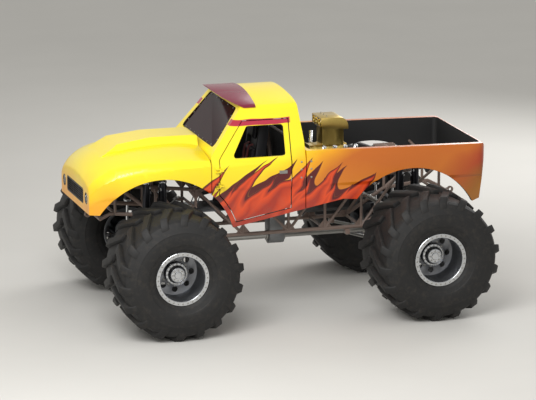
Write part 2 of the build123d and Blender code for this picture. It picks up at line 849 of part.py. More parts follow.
def clip_form(inset):
    """The nose's outer form, or the form that lies inside it by the inset."""
    with BuildPart() as form:
        for x, lower, upper, shoulder, crease, belt, rise, crown in clip_sections:
            with BuildSketch(Plane.YZ.offset(x - inset)):
                with BuildLine():
                    side = [
                        (lower - inset, body_floor_z),
                        (lower - inset, crease - crease_half),
                        (upper - inset, crease + crease_half),
                        (upper - inset, belt - inset),
                        (shoulder - inset, rise - inset),
                    ]
                    Polyline(*side)
                    Polyline(*[(-y, z) for y, z in side])
                    ThreePointArc(side[-1], (0, crown - inset), (-side[-1][0], side[-1][1]))
                    Line(side[0], (-side[0][0], body_floor_z))
                make_face()
        loft()
    return form.part


def bulge_form(inset):
    """The raised middle of the hood, or the form that lies inside it by the inset."""
    with BuildPart() as form:
        with BuildSketch(Plane.XZ):
            with BuildLine():
                Polyline(
                    (cab_front_x + panel_gap, cowl_z - 100),
                    (cab_front_x + panel_gap, bulge_top_z - 10),
                    (cab_front_x + panel_gap + 60, bulge_top_z),
                    (1750, bulge_top_z),
                    (2200, bulge_top_z - 60),
                    (2440, bulge_top_z - 215),
                    (2440, cowl_z - 100),
                    close=True,
                )
            make_face()
            if inset:
                offset(amount=-inset, kind=Kind.INTERSECTION)
        extrude(amount=wheel_y, both=True)
        with BuildSketch(Plane.YZ):
            with BuildLine():
                side = [
                    (bulge_half_width - inset, cowl_z - 100),
                    (bulge_half_width - inset, cowl_z + 40),
                    (bulge_half_width - 70 - inset, bulge_top_z - inset),
                ]
                Polyline(*side, *[(-y, z) for y, z in reversed(side)], close=True)
            make_face()
        extrude(amount=wheelbase, both=True, mode=Mode.INTERSECT)
    return form.part


nose_plane = Plane.YZ.offset(-tail_x)
with BuildPart() as front_clip:
    add(clip_form(0))
    add(bulge_form(0))
    add(clip_form(wall), mode=Mode.SUBTRACT)
    add(bulge_form(wall), mode=Mode.SUBTRACT)
    block(
        (cab_front_x, -wheel_y, body_floor_z - wall),
        (-tail_x + 1, wheel_y, nose_lip_z),
        mode=Mode.SUBTRACT,
    )
    arch(half_base, front_arch_z, front_arch_radius)
    with BuildSketch(nose_plane.offset(-grille_depth * 2)):
        with Locations((0, (grille_low_z + grille_high_z) / 2)):
            RectangleRounded(grille_half_width * 2, grille_high_z - grille_low_z, 40)
        with Locations((-lamp_y, lamp_z), (lamp_y, lamp_z)):
            Circle(lamp_radius)
    extrude(amount=grille_depth * 3, mode=Mode.SUBTRACT)
save("front_clip", front_clip.part)

# Grille: a rim that seats in the nose's opening, with level bars across it and two posts
grille_height = grille_high_z - grille_low_z
grille_middle = (0, (grille_low_z + grille_high_z) / 2)
with BuildPart() as grille:
    with BuildSketch(nose_plane.offset(-grille_depth)):
        with Locations(grille_middle):
            RectangleRounded((grille_half_width - seat_gap) * 2, grille_height - 2 * seat_gap, 40)
            RectangleRounded(grille_half_width * 2 - 40, grille_height - 40, 24, mode=Mode.SUBTRACT)
    extrude(amount=grille_depth)
    bar_pitch = grille_height / (grille_bars + 1)
    for number in range(grille_bars):
        z = grille_low_z + (number + 1) * bar_pitch
        block(
            (-tail_x - grille_depth + 5, 10 - grille_half_width, z - 5),
            (-tail_x - 8, grille_half_width - 10, z + 5),
        )
    for y in (-grille_half_width / 3, grille_half_width / 3):
        block(
            (-tail_x - grille_depth + 2, y - 8, grille_low_z + 10),
            (-tail_x - 14, y + 8, grille_high_z - 10),
        )
save("grille", grille.part)

# Headlamps: a turned bowl with a stepped rim and a domed lens, one on each side of the grille
with BuildPart() as headlamps:
    for side in (-1, 1):
        centre = Vector(-tail_x, side * lamp_y, lamp_z)
        with BuildSketch(Plane(origin=centre, x_dir=(0, 0, 1), z_dir=(0, -1, 0))):
            with BuildLine():
                lens_edge = lamp_radius - lamp_rim
                Polyline(
                    (0, 0),
                    (0, lamp_depth),
                    (lamp_radius / 2, lamp_depth),
                    (lamp_radius - seat_gap, wall),
                    (lamp_radius - seat_gap, 0),
                    (lens_edge, 0),
                    (lens_edge - 4, lens_depth),
                    (lens_edge / 2, lens_depth / 4),
                    close=True,
                )
            make_face()
        revolve(axis=Axis(centre, (1, 0, 0)))
save("headlamps", headlamps.part)

# Visor: a brow that goes on from the roof's curve, with its cheeks cut back
with BuildPart() as visor:
    with BuildSketch(Plane.YZ.offset(visor_root_x)):
        add(cab_section(-seat_gap - visor_thickness))
        add(cab_section(-seat_gap), mode=Mode.SUBTRACT)
    extrude(amount=visor_tip_x - visor_root_x)
    with BuildSketch(Plane.XZ):
        with BuildLine():
            Polyline(
                (visor_root_x - 1, visor_low_z),
                (visor_cheek_x, visor_low_z),
                (visor_tip_x - 60, roof_z - 40),
                (visor_tip_x, roof_z),
                (visor_tip_x, roof_z + 2 * visor_thickness),
                (visor_root_x - 1, roof_z + 2 * visor_thickness),
                close=True,
            )
        make_face()
    extrude(amount=upper_half_width, both=True, mode=Mode.INTERSECT)
save("visor", visor.part)

with BuildPart() as bed:
    bed_front_x = cab_rear_x - panel_gap
    with BuildSketch(Plane.XZ):
        with BuildLine():
            Polyline(
                (bed_front_x, sill_height(bed_front_x)),
                (bed_front_x, bed_front_z),
                (tail_x + 40, bed_tail_z),
                (tail_x, bed_tail_z - 60),
                (tail_x + tail_lean, tail_low_z),
                (tail_x + tail_lean + 100, tail_low_z - 40),
                (bed_sill_end_x, sill_height(bed_sill_end_x)),
                close=True,
            )
        make_face()
    extrude(amount=upper_half_width * 2, both=True)
    with BuildSketch(Plane.YZ):
        with BuildLine():
            side = [*body_side[:4], (upper_half_width - 20, roof_z)]
            Polyline(*side, *[(-y, z) for y, z in reversed(side)], close=True)
        make_face()
    extrude(amount=wheelbase, both=True, mode=Mode.INTERSECT)
    bed_length = bed_front_x - tail_x
    with BuildSketch(Plane.XY):
        with Locations((bed_front_x, 0)):
            RectangleRounded(bed_length * 2, upper_half_width * 2, tail_radius)
    extrude(amount=roof_z, mode=Mode.INTERSECT)
    with BuildSketch(Plane.XY):
        with Locations(((bed_front_x + tail_x) / 2, 0)):
            RectangleRounded(
                bed_length - 2 * bed_wall, (lower_half_width - bed_wall) * 2, tail_radius - bed_wall
            )
    extrude(amount=roof_z, mode=Mode.SUBTRACT)
    block(
        (bed_front_x - bed_wall - 1, -chassis_gate_y, body_floor_z),
        (bed_front_x + 1, chassis_gate_y, chassis_gate_z),
        mode=Mode.SUBTRACT,
    )
    arch(rear_arch_x, rear_arch_z, rear_arch_radius)
save("bed", bed.part)

# Roll cage: two bent hoops a side apart, tied across at the roof, the dash and behind the seat
cage_y = 560.0
cage_start = side_y
cage_foot_z = waist_z + rail_radius + seat_gap
dash_x = 925.0
dash_z = 1950.0
with BuildPart() as roll_cage:
    for side in (-1, 1):
        bent_bar(
            [
                (dash_x, side * cage_start, cage_foot_z),
                (dash_x, side * cage_start, cage_foot_z + 80),
                (dash_x, side * cage_y, dash_z),
                (900, side * cage_y, 2180),
                (500, side * cage_y, 2740),
                (-20, side * cage_y, 2760),
                (-100, side * cage_y, 2300),
                (-100, side * cage_start, cage_foot_z + 80),
                (-100, side * cage_start, cage_foot_z),
            ],
            rail_diameter,
        )
    for x, z in ((dash_x, dash_z), (500, 2740), (-20, 2760), (-100, 2300)):
        bar((x, -cage_y, z), (x, cage_y, z), brace_diameter)
    for side in (-1, 1):
        bar((-100, side * cage_y, 2300), (-20, 0, 2760), brace_diameter)
save("roll_cage", roll_cage.part)

# Body mounts: tubes from the chassis rails out to the inside of the shell
mount_tubes = [  # place, height at the rail, height at the shell, which shell
    (end_x, end_high_z, end_high_z + 60, "clip"),
    (cab_front_x + 90, waist_z, 1950, "clip"),
    (cab_front_x - 50, waist_z, 1950, "cab"),
    (middle_post_x + 20, waist_z, waist_z, "cab"),
    (-420, waist_z, waist_z, "bed"),
    (-end_x, end_high_z, end_high_z + 80, "bed"),
]
inside_forms = {"clip": clip_form(wall + seat_gap), "cab": cab_form(wall + seat_gap)}
with BuildPart() as inside_bed:
    with BuildSketch(Plane.XY):
        with Locations(((bed_front_x + tail_x) / 2, 0)):
            Rectangle(bed_length * 2, (lower_half_width - bed_wall - seat_gap) * 2)
    extrude(amount=roof_z)
inside_forms["bed"] = inside_bed.part
mounts = []
for x, rail_z, shell_z, shell in mount_tubes:
    with BuildPart() as mount:
        bar((x, side_y, rail_z), (x, upper_half_width, shell_z), brace_diameter)
        add(inside_forms[shell], mode=Mode.INTERSECT)
        rail_face = side_y + rail_radius + seat_gap
        block((x - rail_radius, 0, 0), (x + rail_radius, rail_face, roof_z), mode=Mode.SUBTRACT)
    mounts += [mount.part, mirror(mount.part, about=Plane.XZ)]
save("body_mounts", Compound(children=[solid for part in mounts for solid in part.solids()]))

# Engine: sump, block, two banks with their heads and valve covers, and arms to the chassis posts
head_low = (head_half_width, 345)
head_high = (210, 420)
engine_half = [  # half width, height above the crankshaft
    (110, -220),
    (190, -160),
    (200, 60),
    (head_half_width, 230),
    head_low,
    head_high,
    (valley_half_width, 385),
    (valley_half_width, valley_rise),
]
engine_middle_x = (engine_rear_x + engine_front_x) / 2
cover_tilt = atan2(head_high[1] - head_low[1], head_low[0] - head_high[0])
with BuildPart() as engine_block:
    with BuildSketch(Plane.YZ.offset(engine_rear_x)):
        with BuildLine():
            outline = [(y, crank_z + z) for y, z in engine_half]
            Polyline(*outline, *[(-y, z) for y, z in reversed(outline)], close=True)
        make_face()
    extrude(amount=engine_front_x - engine_rear_x)
    for side in (-1, 1):
        cover_y = side * (head_low[0] + head_high[0]) / 2
        foot = (engine_middle_x, cover_y, crank_z + (head_low[1] + head_high[1]) / 2)
        upwards = (0, side * sin(cover_tilt), cos(cover_tilt))
        with BuildSketch(Plane(origin=foot, x_dir=(1, 0, 0), z_dir=upwards)):
            RectangleRounded(engine_front_x - engine_rear_x - 70, cover_width, 30)
        extrude(amount=cover_height, taper=7)
        mount_y = side * (side_y - brace_radius - seat_gap)
        mount_start = (rear_post_x, side * 100, engine_mount_z)
        bar(mount_start, (rear_post_x, mount_y, engine_mount_z), rail_diameter)
save("engine_block", engine_block.part)

# Supercharger: manifold, ribbed case, plenum, and the injector hat with its three throttles
blower_middle_z = (blower_low_z + blower_high_z) / 2
blower_height = blower_high_z - blower_low_z
case_start_x = engine_rear_x + 20
case_length = engine_front_x - engine_rear_x - 60
hat_x = engine_middle_x - hat_setback
hat_front_x = hat_x + 190
throttle_z = hat_top_z - 62
with BuildPart() as supercharger:
    manifold_y = valley_half_width - 2
    block(
        (engine_rear_x + 60, -manifold_y, crank_z + valley_rise + seat_gap),
        (engine_front_x - 60, manifold_y, blower_low_z),
    )
    with BuildSketch(Plane.YZ.offset(case_start_x)):
        with Locations((0, blower_middle_z)):
            RectangleRounded(blower_width, blower_height, 70)
    extrude(amount=case_length)
    rib_pitch = (case_length - blower_rib) / (blower_rib_count - 1)
    for number in range(blower_rib_count):
        with BuildSketch(Plane.YZ.offset(case_start_x + number * rib_pitch)):
            with Locations((0, blower_middle_z)):
                RectangleRounded(blower_width + blower_rib, blower_height + blower_rib, 70)
        extrude(amount=blower_rib)
    block((hat_x - 150, -120, blower_high_z - 5), (hat_x + 150, 120, hat_top_z - 140))
    with BuildSketch(Plane.XZ):
        with BuildLine():
            hat_back = (hat_x - 190, hat_top_z - 110)
            hat_brow = (hat_x - 60, hat_top_z)
            ThreePointArc(hat_back, (hat_x - 150, hat_top_z - 32), hat_brow)
            Polyline(
                hat_brow,
                (hat_front_x, hat_top_z),
                (hat_front_x, hat_top_z - 125),
                (hat_x + 150, hat_top_z - 160),
                (hat_x - 190, hat_top_z - 160),
                hat_back,
            )
        make_face()
    extrude(amount=hat_half_width, both=True)
    for number in (-1, 0, 1):
        y = number * throttle_pitch
        bar(
            (hat_front_x - 110, y, throttle_z),
            (hat_front_x + 1, y, throttle_z),
            throttle_radius * 2,
            mode=Mode.SUBTRACT,
        )
    shaft_start = (hat_front_x - 40, 10 - hat_half_width, throttle_z)
    bar(shaft_start, (hat_front_x - 40, hat_half_width - 10, throttle_z), 10)
    for number in (-1, 0, 1):
        centre = Vector(hat_front_x - 40, number * throttle_pitch, throttle_z)
        lean = Vector(cos(radians(10)), 0, sin(radians(10)))
        bar(centre - lean * 1.5, centre + lean * 1.5, throttle_radius * 2 - 6)
save("supercharger", supercharger.part)

# Blower drive: a wide belt from the crankshaft's pulley up to the supercharger's
pulleys = [  # height, radius, where its shaft ends
    (crank_z, crank_pulley_radius, engine_rear_x),
    (blower_middle_z, blower_pulley_radius, case_start_x),
]
belt_x = engine_rear_x - belt_gap - belt_width
with BuildPart() as blower_drive:
    for grow, mode in ((belt_thickness, Mode.ADD), (0, Mode.SUBTRACT)):
        with BuildSketch(Plane.YZ.offset(belt_x)):
            for place in pulleys:
                with Locations((0, place[0])):
                    Circle(place[1] + grow)
            make_hull()
        extrude(amount=belt_width, mode=mode)
    for z, radius, shaft_end in pulleys:
        bar((belt_x, 0, z), (belt_x + belt_width, 0, z), radius * 2)
        bar((belt_x + belt_width / 2, 0, z), (shaft_end - seat_gap, 0, z), radius)
        bar((belt_x - 1, 0, z), (belt_x + 20, 0, z), radius * 1.2, mode=Mode.SUBTRACT)
save("blower_drive", blower_drive.part)

with BuildPart() as headers:
    for side in (-1, 1):
        face_y = side * (head_half_width + seat_gap)
        low, high = sorted((face_y, face_y + side * 12))
        block(
            (engine_rear_x + 20, low, crank_z + port_rise - 25),
            (engine_front_x - 20, high, crank_z + port_rise + 25),
        )
        for number in range(4):
            x = engine_rear_x + 70 + number * (engine_front_x - engine_rear_x - 140) / 3
            bent_bar(
                [
                    (x, face_y + side * 2, crank_z + port_rise),
                    (x, face_y + side * 50, crank_z + port_rise),
                    (x, face_y + side * 130, header_elbow_z),
                    (x - 50, face_y + side * 240, header_top_z),
                ],
                header_diameter,
            )
save("headers", headers.part)

# Gearbox behind the seat, and the drop box that takes the drive down to both shafts
with BuildPart() as gearbox:
    with BuildSketch(Plane(origin=(engine_front_x, 0, crank_z), x_dir=(0, 1, 0), z_dir=(1, 0, 0))):
        Circle(190)
    with BuildSketch(Plane(origin=(engine_front_x + 160, 0, crank_z), x_dir=(0, 1, 0), z_dir=(1, 0, 0))):
        Circle(125)
    loft()
    bar((engine_front_x + 160, 0, crank_z), (gearbox_end_x, 0, crank_z), 250)
    with BuildSketch(Plane.YZ.offset(gearbox_end_x)):
        with Locations((0, crank_z)):
            Circle(drop_box_top_radius)
        with Locations((0, shaft_z)):
            Circle(drop_box_low_radius)
        make_hull()
    extrude(amount=drop_box_end_x - gearbox_end_x)
save("gearbox", gearbox.part)

for name, start, end in (
    ("driveshaft_front", drop_box_end_x, half_base - pinion_reach),
    ("driveshaft_rear", gearbox_end_x, pinion_reach - half_base),
):
    with BuildPart() as driveshaft:
        bar((start, 0, shaft_z), (end, 0, shaft_z), shaft_diameter)
        way = 1 if end > start else -1
        for x in (start, end - way * shaft_flange_thickness):
            bar((x, 0, shaft_z), (x + way * shaft_flange_thickness, 0, shaft_z), shaft_flange_diameter)
    save(name, driveshaft.part)

# Driver's place: floor, bucket seat and steering wheel, in the middle of the truck
floor_top = floor_tube_z + brace_radius + seat_gap + 10
with BuildPart() as floor_pan:
    floor_y = side_y - rail_radius - seat_gap - 5
    block((160, -floor_y, floor_top - 10), (belly_half_length + 20, floor_y, floor_top))
save("floor_pan", floor_pan.part)

seat_half_width = 255.0
seat_bolster = 55.0
seat_frame = 38.0
seat_cuts = [  # half width of the cut, its outline from the side: the lap, the back's hollow, the underside
    (seat_half_width - seat_bolster, [(800, 1590), (330, 1560), (200, 2500), (800, 2500)]),
    (seat_half_width - seat_frame, [(100, 1545), (268, 1545), (166, 2400), (60, 2400)]),
    (seat_half_width - seat_frame, [(100, floor_top - 1), (100, 1505), (800, 1525), (800, floor_top - 1)]),
]
with BuildPart() as seat:
    with BuildSketch(Plane.XZ):
        with BuildLine():
            Polyline(
                (240, floor_top + seat_gap),
                (220, 1560),
                (110, 2420),
                (150, 2480),
                (240, 2480),
                (340, 1740),
                (700, 1690),
                (740, 1600),
                (660, floor_top + seat_gap),
                close=True,
            )
        make_face()
    extrude(amount=seat_half_width, both=True)
    for half_width, points in seat_cuts:
        with BuildSketch(Plane.XZ):
            with BuildLine():
                Polyline(*points, close=True)
            make_face()
        extrude(amount=half_width, both=True, mode=Mode.SUBTRACT)
save("seat", seat.part)

with BuildPart() as steering_wheel:
    rake = radians(25)
    hub_centre = Vector(720, 0, 2010)
    with Locations(Plane(origin=hub_centre, x_dir=(0, 1, 0), z_dir=(-cos(rake), 0, sin(rake)))):
        Torus(160, 14)
        Cylinder(40, 24)
        Box(320, 30, 10)
    to_dash = Vector(dash_x, 0, dash_z) - hub_centre
    reach = to_dash.length - brace_radius - seat_gap
    bar(hub_centre, hub_centre + to_dash.normalized() * reach, 36)
save("steering_wheel", steering_wheel.part)
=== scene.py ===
import json
import math
from functools import partial

import bmesh
import bpy
from bpy.props import FloatProperty, FloatVectorProperty, IntProperty, PointerProperty
from mathutils import Matrix, Vector

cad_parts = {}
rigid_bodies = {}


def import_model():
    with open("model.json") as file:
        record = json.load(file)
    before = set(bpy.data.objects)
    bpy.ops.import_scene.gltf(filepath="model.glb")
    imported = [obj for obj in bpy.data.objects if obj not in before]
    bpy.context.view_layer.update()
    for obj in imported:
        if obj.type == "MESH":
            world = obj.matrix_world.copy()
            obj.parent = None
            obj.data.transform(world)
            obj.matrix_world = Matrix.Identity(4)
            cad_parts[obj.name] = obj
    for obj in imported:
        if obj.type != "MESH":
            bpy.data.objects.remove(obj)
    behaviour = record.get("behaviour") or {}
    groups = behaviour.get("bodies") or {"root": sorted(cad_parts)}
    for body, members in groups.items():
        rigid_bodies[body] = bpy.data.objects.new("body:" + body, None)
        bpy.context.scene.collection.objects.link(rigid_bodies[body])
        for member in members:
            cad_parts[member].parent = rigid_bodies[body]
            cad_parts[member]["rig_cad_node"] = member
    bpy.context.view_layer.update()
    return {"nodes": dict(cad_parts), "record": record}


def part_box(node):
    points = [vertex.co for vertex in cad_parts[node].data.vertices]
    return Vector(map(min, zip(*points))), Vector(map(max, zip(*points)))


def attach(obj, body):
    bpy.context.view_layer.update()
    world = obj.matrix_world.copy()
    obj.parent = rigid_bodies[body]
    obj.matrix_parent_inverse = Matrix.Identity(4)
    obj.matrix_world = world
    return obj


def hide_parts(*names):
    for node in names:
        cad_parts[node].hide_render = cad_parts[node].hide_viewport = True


bl_info = {
    "name": "Monster truck looks",
    "version": (1, 0, 0),
    "blender": (4, 5, 0),
    "location": "3D View > Sidebar > Truck",
    "description": "Dresses the packed parts of a monster truck and lights them as in a studio",
    "category": "Object",
}

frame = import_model()

ENDS = ("front", "rear")
SIDES = ("left", "right")
CORNERS = [(end, side) for end in ENDS for side in SIDES]
ALONG_X, ALONG_Y, UP = Vector((1, 0, 0)), Vector((0, 1, 0)), Vector((0, 0, 1))
TO_REAR = Matrix.Diagonal((-1, 1, 1, 1))
TO_RIGHT = Matrix.Diagonal((1, -1, 1, 1))
BODIES = frame["record"]["behaviour"]["bodies"]
PIECE_BODIES = {node: body for body, nodes in BODIES.items() for node in nodes}
CHASSIS = PIECE_BODIES["frame_side_left"]


def corners_of(node):
    """The lowest and highest corners of a node as vectors."""
    low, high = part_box(node)
    return Vector(low), Vector(high)


# Places that several pieces share, read from the frame, in metres
tyre_low, tyre_high = corners_of("tyre_front_left")
wheel_radius = tyre_high.z / 2
hub = Vector(((tyre_low.x + tyre_high.x) / 2, (tyre_low.y + tyre_high.y) / 2, wheel_radius))
half_tyre = (tyre_high.y - tyre_low.y) / 2
half_base = hub.x
case_low, case_high = corners_of("supercharger")
block_low, block_high = corners_of("engine_block")
lamp_low, lamp_high = corners_of("headlamps")
floor_top = corners_of("floor_pan")[1].z
# Corners nearer to each other than this are merged
MERGE_DISTANCE = 0.00002


def linear(code):
    """An sRGB hex colour as linear red, green and blue."""
    parts = [int(code[i:i + 2], 16) / 255 for i in (1, 3, 5)]
    return [c / 12.92 if c <= 0.04045 else ((c + 0.055) / 1.055) ** 2.4 for c in parts]


def colour(name, code, description):
    """A colour that a user can change."""
    return FloatVectorProperty(
        name=name, description=description, subtype="COLOR", size=3, min=0, max=1, default=linear(code)
    )


def length(name, metres, description):
    """A length that a user can change."""
    return FloatProperty(
        name=name, description=description, subtype="DISTANCE", unit="LENGTH", default=metres
    )


def angle(name, degrees, description):
    """An angle that a user can change."""
    return FloatProperty(
        name=name, description=description, subtype="ANGLE", default=math.radians(degrees)
    )


def amount(name, value, description):
    """A plain number that a user can change."""
    return FloatProperty(name=name, description=description, default=value)


def count(name, number, description):
    """A number of like pieces that a user can change."""
    return IntProperty(name=name, description=description, min=1, default=number)


class CameraSettings(bpy.types.PropertyGroup):
    azimuth: angle("Azimuth", 163, "Turn of the view about the truck")
    elevation: angle("Elevation", 13, "Angle of the view above the ground")
    distance: length("Distance", 47.0, "From the camera to the truck")
    lens: amount("Lens", 236.0, "Focal length in millimetres")
    aim_x: length("Aim X", 0.05, "Where the view's middle lies along the truck")
    aim_z: length("Aim height", 1.36, "How high the view's middle lies")


class StageSettings(bpy.types.PropertyGroup):
    floor: colour("Floor", "#D2D0CB", "Pale studio floor")
    sky: colour("Backdrop", "#E4E3E0", "What is seen behind the truck")
    sky_strength: amount("Sky strength", 0.7, "Light from all round")
    key_power: amount("Key light", 1250.0, "Power of the large soft lamp in watts")
    fill_power: amount("Fill light", 600.0, "Power of the opposite lamp in watts")


class BodySettings(bpy.types.PropertyGroup):
    yellow: colour("Yellow", "#FFE620", "The hood's and the roof's paint")
    amber: colour("Amber", "#F2A416", "Where the yellow begins to warm")
    orange: colour("Orange", "#C96A1C", "The bed's paint")
    red: colour("Red", "#A82C14", "The tail's and the sills' paint")
    ember: colour("Ember", "#E04A14", "The inside of the flames")
    maroon: colour("Maroon", "#560A0E", "The edges of the flames")
    visor: colour("Visor", "#7A1634", "The brow over the windshield")
    edge: length("Edge radius", 0.006, "Rounding of the moulded shell's edges")
    flame_pitch: length("Flame pitch", 0.54, "Distance from one lick to the next")
    flame_rise: length("Flame rise", 0.5, "Height of the tallest licks")


class TyreSettings(bpy.types.PropertyGroup):
    rubber: colour("Rubber", "#0D0D0E", "Black rubber")
    dust: colour("Dust", "#75695A", "Dry soil that clings to the rubber")
    lug_count: count("Lugs", 18, "Lugs round each half of the tread")
    lug_height: length("Lug height", 0.052, "Height of a lug above the carcass")
    lug_width: length("Lug width", 0.104, "Width of a lug along the tread")
    lug_start: angle("Lug start", -6.5, "Angle about the axle where a lug starts at the tread's middle")
    lug_turn: angle("Lug turn", 15.8, "Angle that a lug turns about the axle from the middle to the edge")


class MetalSettings(bpy.types.PropertyGroup):
    frame_coat: colour("Chassis coat", "#8E7A70", "Powder coat on the chassis tubes")
    axle_enamel: colour("Axle enamel", "#232327", "Enamel on the axles")
    plated: colour("Plated steel", "#A9A8A4", "Zinc plate on links and rods")
    chrome: colour("Chrome", "#D5D6D8", "Polished chrome")
    wheel: colour("Wheel", "#85878B", "Satin aluminium of the wheels")
    bright: colour("Machined", "#C9CBCE", "Machined aluminium")
    iron: colour("Iron", "#3A3A3D", "Painted iron castings")
    blower: colour("Blower", "#C9AE62", "Gold anodised case of the supercharger")


class CockpitSettings(bpy.types.PropertyGroup):
    vinyl: colour("Vinyl", "#2A2A2D", "Upholstery of the seat's pads")
    webbing: colour("Webbing", "#A3231D", "Harness webbing")
    pad: length("Pad thickness", 0.055, "Thickness of the seat's pads")
    strap: length("Strap width", 0.075, "Width of the shoulder straps")


class TruckSettings(bpy.types.PropertyGroup):
    camera: PointerProperty(type=CameraSettings)
    stage: PointerProperty(type=StageSettings)
    body: PointerProperty(type=BodySettings)
    tyres: PointerProperty(type=TyreSettings)
    metals: PointerProperty(type=MetalSettings)
    cockpit: PointerProperty(type=CockpitSettings)


def add_node(tree, kind, inputs=(), result=None, stops=(), **settings):
    """Adds a shader node with its settings, its inputs' values or links and its ramp's stops.

    Inputs in a row go to the sockets in use, in their order. What comes back is the output that
    the result names, or else the first one in use.
    """
    node = tree.nodes.new("ShaderNode" + kind)
    for name, value in settings.items():
        setattr(node, name, value)
    if isinstance(inputs, dict):
        pairs = [(node.inputs[name], value) for name, value in inputs.items()]
    else:
        pairs = zip([socket for socket in node.inputs if socket.enabled], inputs)
    for socket, value in pairs:
        if isinstance(value, bpy.types.NodeSocket):
            tree.links.new(value, socket)
        else:
            socket.default_value = (*value, 1) if socket.type == "RGBA" else value
    for index, (place, rgb) in enumerate(stops):
        elements = node.color_ramp.elements
        element = elements[index] if index < 2 else elements.new(place)
        element.position = place
        element.color = (*rgb, 1)
    if result:
        return node.outputs[result]
    return next((socket for socket in node.outputs if socket.enabled), None)


def close_material(tree, inputs, height=None, strength=0.0, depth_mm=1):
    """Ends a material: its surface's values, and a pattern's height pressed into it as bump."""
    if height is not None:
        bump = {"Height": height, "Strength": strength, "Distance": depth_mm / 1000}
        inputs = {**inputs, "Normal": add_node(tree, "Bump", bump)}
    add_node(tree, "OutputMaterial", {"Surface": add_node(tree, "BsdfPrincipled", inputs)})


def dusty(tree, place, base, low, high, share):
    """Mixes dry soil over a colour: all of its share at the low height, none at the high one."""
    node = partial(add_node, tree)
    height = node("SeparateXYZ", [place], "Z")
    fade = node("MapRange", [height, low, high, share, 0.0])
    speckle = node("TexNoise", {"Vector": place, "Scale": 9.0, "Detail": 6.0, "Roughness": 0.65})
    patches = node("MapRange", [speckle, 0.4, 0.66])
    cover = node("Math", [fade, patches], operation="MULTIPLY")
    dust = bpy.context.scene.truck.tyres.dust
    return node("Mix", [cover, base, dust], data_type="RGBA"), cover


def grained(tree, place, tint, roughness, metallic, grain_mm, bump, dust_share=0.25):
    """A surface whose tint varies a little, whose grain shows as bump, with dust low on it."""
    node = partial(add_node, tree)
    if callable(tint):
        base = tint(tree, place)
    elif tint.startswith("#"):
        base = linear(tint)
    else:
        base = bpy.context.scene.truck.path_resolve(tint)
    pattern = {"Vector": place, "Scale": 1000 / grain_mm, "Detail": 3.0, "Roughness": 0.6}
    grain = node("TexNoise", pattern)
    worn = node("MapRange", [grain, 0.3, 0.7, 0.82, 1.12])
    shaded = node("Mix", [1.0, base, worn], data_type="RGBA", blend_type="MULTIPLY")
    final, cover = dusty(tree, place, shaded, 0.2, 1.9, dust_share)
    rough = node("MapRange", [cover, 0.0, 1.0, roughness, 0.9])
    close_material(tree, {"Base Color": final, "Metallic": metallic, "Roughness": rough}, grain, bump)


def heat_colours(tree, place):
    """Chrome that exhaust heat has tinted: straw, then blue, near the engine, and plain further out."""
    y = add_node(tree, "SeparateXYZ", [place], "Y")
    out = add_node(tree, "Math", [y], operation="ABSOLUTE")
    drift = add_node(tree, "TexNoise", {"Vector": place, "Scale": 14.0})
    shifted = add_node(tree, "Math", [drift, 0.06, out], operation="MULTIPLY_ADD")
    spread = add_node(tree, "MapRange", [shifted, 0.3, 0.6])
    tints = ((0.0, "#6F4F86"), (0.12, "#4E6FA8"), (0.26, "#B08A4E"), (0.42, "#D9C79A"), (0.7, "#D5D6D8"))
    return add_node(tree, "ValToRGB", [spread], stops=[(at, linear(code)) for at, code in tints])


